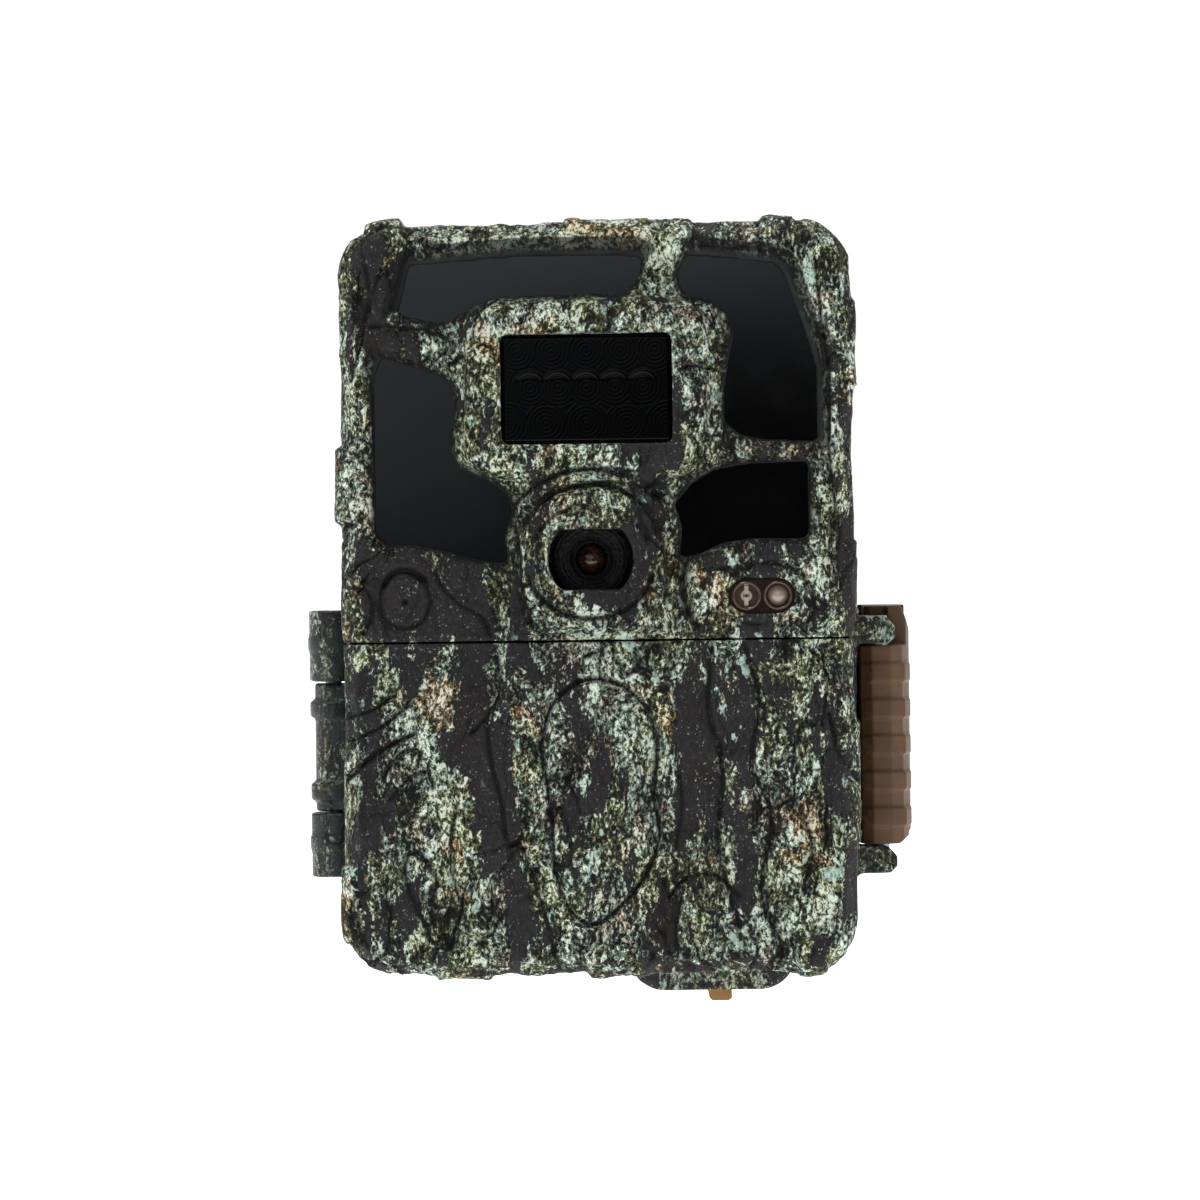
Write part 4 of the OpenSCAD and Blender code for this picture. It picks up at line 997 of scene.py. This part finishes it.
def make_sensor_rings():
    """A round bezel and a deeper ring on each of the two small sensors."""
    bronze = polished("sensor_bezel", "3a2820", 0.16, 0.3)
    for i, centre_x in enumerate((OVAL_LOW[0] + SENSOR_INSET, OVAL_HIGH[0] - SENSOR_INSET)):
        centre = (centre_x, (OVAL_LOW[2] + OVAL_HIGH[2]) / 2)
        for name, radius, back, thick, deep in SENSOR_RINGS:
            y = OVAL_LOW[1] + back
            section = (radius, y, thick, deep)
            add_ring(f"{name}_{i}", "sensor_window", centre, *section, bronze, "brown_window")


make_bezel()
make_shell("lower_cover", 2, COVER_GROOVES, BARK, near_seams)
make_pir_lens()
make_lens_rings()
make_sensor_rings()
make_shell("front_housing", 1, [], BARK_SIDE)
make_shell("rear_case", 1, [], BARK_SIDE)
make_moulded("latch_lever", 0.25)
make_moulded("tree_bracket", 0.5)
make_moulded("jack_cover", 0.2)

OWN_FINISHES = {
    "lens_hood": moulded("lens_hood_black", "0c0807", 0.3, 0.01),
    "lens_barrel": moulded("lens_barrel_black", "0b0808", 0.26, 0.01),
    "light_sensor": eye_finish("sensor_eye"),
    "inner_panel": moulded("panel_black", "1b1c1d", 0.55, 0.35),
    "tripod_boss": moulded("case_plastic", "1e1f1f", 0.5, 0.3),
}
for node_name, node_object in frame["nodes"].items():
    if not node_object.hide_render:
        finish = OWN_FINISHES.get(node_name, FINISHES.get(SLOT[node_name], BARK_SIDE))
        node_object.data.materials.clear()
        node_object.data.materials.append(finish)

# ---- Studio ----

FLOOR_DROP = 0.045


def make_floor():
    """A flat floor, well under the camera case, as wide as the eye can see; it glows pale near the case
    and turns dark far out in front, past the camera.
    """
    reach = 40.0
    z = CAD_BOUNDS[0][2] - FLOOR_DROP
    corners = [(-reach, -reach, z), (reach, -reach, z), (reach, reach, z), (-reach, reach, z)]
    mesh = bpy.data.meshes.new("floor")
    mesh.from_pydata(corners, [], [(0, 1, 2, 3)])
    floor = add_object("floor", mesh)
    f = Finish("glowing_floor", roughness=0.9, specular_ior_level=0.0)
    f.shader.inputs["Emission Color"].default_value = (1, 1, 1, 1)
    where = f.node("ShaderNodeTexCoord", {}).outputs["Object"]
    along = f.node("ShaderNodeSeparateXYZ", {"Vector": where})
    # The floor's glow: full within half a metre in front of the case, gone past a metre and a half
    lit = f.span(along.outputs["Y"], -1.5, -0.5)
    f.feed(f.shader.inputs["Emission Strength"], f.maths("MULTIPLY", lit, 0.9))
    f.base(f.mix(lit, (0.05, 0.05, 0.05, 1), (0.88, 0.88, 0.88, 1)))
    mesh.materials.append(f.material)


def area_light(name, place, aim, size, power, tone=(1, 1, 1)):
    """A rectangular lamp at a place, turned towards its aim."""
    data = bpy.data.lights.new(name, "AREA")
    data.shape = "RECTANGLE"
    data.size, data.size_y = size
    data.energy = power
    data.color = tone
    lamp = add_object(name, data)
    lamp.location = place
    lamp.rotation_mode = "QUATERNION"
    lamp.rotation_quaternion = (Vector(aim) - Vector(place)).to_track_quat("-Z", "Y")


def make_world():
    """A white wall behind, and a dim room in front with a dark patch round the camera's level."""
    world = bpy.data.worlds.new("studio")
    bpy.context.scene.world = world
    world.use_nodes = True
    tree = world.node_tree
    glow = tree.nodes["Background"]
    where = tree.nodes.new("ShaderNodeTexCoord")
    split = tree.nodes.new("ShaderNodeSeparateXYZ")
    tree.links.new(where.outputs["Generated"], split.inputs[0])
    side, along, up = (split.outputs[axis] for axis in "XYZ")

    def rise(socket, low, high):
        made = tree.nodes.new("ShaderNodeMapRange")
        made.interpolation_type = "SMOOTHSTEP"
        tree.links.new(socket, made.inputs["Value"])
        made.inputs["From Min"].default_value = low
        made.inputs["From Max"].default_value = high
        return made.outputs["Result"]

    def most(a, b):
        made = tree.nodes.new("ShaderNodeMath")
        made.operation = "MAXIMUM"
        tree.links.new(a, made.inputs[0])
        tree.links.new(b, made.inputs[1])
        return made.outputs[0]

    def times(first, *others):
        for other in others:
            made = tree.nodes.new("ShaderNodeMath")
            made.operation = "MULTIPLY"
            tree.links.new(first, made.inputs[0])
            if isinstance(other, float):
                made.inputs[1].default_value = other
            else:
                tree.links.new(other, made.inputs[1])
            first = made.outputs[0]
        return first

    # The dim room: above the camera and on both sides of it
    lit = most(rise(up, 0.045, 0.11), rise(side, -0.05, -0.075))
    lit = most(lit, rise(side, 0.055, 0.12))
    # A soft bright patch above, fainter beside the camera, faded out at both ends
    panel = times(rise(up, 0.5, 0.3), rise(up, 0.04, 0.1))
    beside = times(rise(side, -0.027, -0.032), rise(up, -0.03, 0.05))
    panel = most(panel, times(beside, rise(up, 0.5, 0.3), 0.45))
    panel = times(panel, rise(side, 0.16, -0.02), rise(side, -0.5, -0.3))
    ramp = tree.nodes.new("ShaderNodeMix")
    ramp.data_type = "RGBA"
    tree.links.new(lit, ramp.inputs[0])
    ramp.inputs[6].default_value = (0.01, 0.01, 0.011, 1)
    ramp.inputs[7].default_value = (0.11, 0.12, 0.13, 1)
    both = tree.nodes.new("ShaderNodeMix")
    both.data_type = "RGBA"
    both.blend_type = "ADD"
    tree.links.new(times(panel, 1.3), both.inputs[0])
    tree.links.new(ramp.outputs[2], both.inputs[6])
    both.inputs[7].default_value = (0.85, 0.92, 1.0, 1)
    wall = tree.nodes.new("ShaderNodeMix")
    wall.data_type = "RGBA"
    tree.links.new(rise(along, 0.0, 0.3), wall.inputs[0])
    tree.links.new(both.outputs[2], wall.inputs[6])
    wall.inputs[7].default_value = (1.05, 1.05, 1.05, 1)
    tree.links.new(wall.outputs[2], glow.inputs["Color"])


def make_camera():
    """Close to square on, a little to the latch's side."""
    aim_z, distance, frame_width, sensor = 0.0653, 0.70, 0.2088, 36.0
    target = Vector((0.0, FACE_Y * MM, aim_z))
    azimuth, elevation, roll = (math.radians(turn) for turn in (0.6, 0.6, -0.75))
    back = Vector(
        (
            math.sin(azimuth) * math.cos(elevation),
            -math.cos(azimuth) * math.cos(elevation),
            math.sin(elevation),
        )
    )
    data = bpy.data.cameras.new("camera")
    data.sensor_width = sensor
    data.lens = data.sensor_width * distance / frame_width
    camera = add_object("camera", data)
    camera.location = target + back * distance
    camera.rotation_mode = "QUATERNION"
    facing = (-back).to_track_quat("-Z", "Y")
    camera.rotation_quaternion = facing @ Matrix.Rotation(roll, 3, "Z").to_quaternion()
    bpy.context.scene.camera = camera


make_floor()
make_world()
area_light("key", (-0.25, -0.6, 1.1), (0, -0.03, 0.06), (0.35, 0.3), 9.5, (1.0, 0.99, 0.96))
area_light("right", (1.0, -0.4, 0.35), (0, -0.03, 0.06), (0.25, 0.6), 3.4)
area_light("left", (-1.0, -0.25, 0.4), (0, -0.03, 0.06), (0.2, 0.6), 2.6, (0.96, 0.98, 1.0))
area_light("top", (0.1, 0.1, 1.1), (0, 0, 0.06), (0.5, 0.3), 4)
make_camera()
bpy.context.scene.view_settings.view_transform = "Standard"
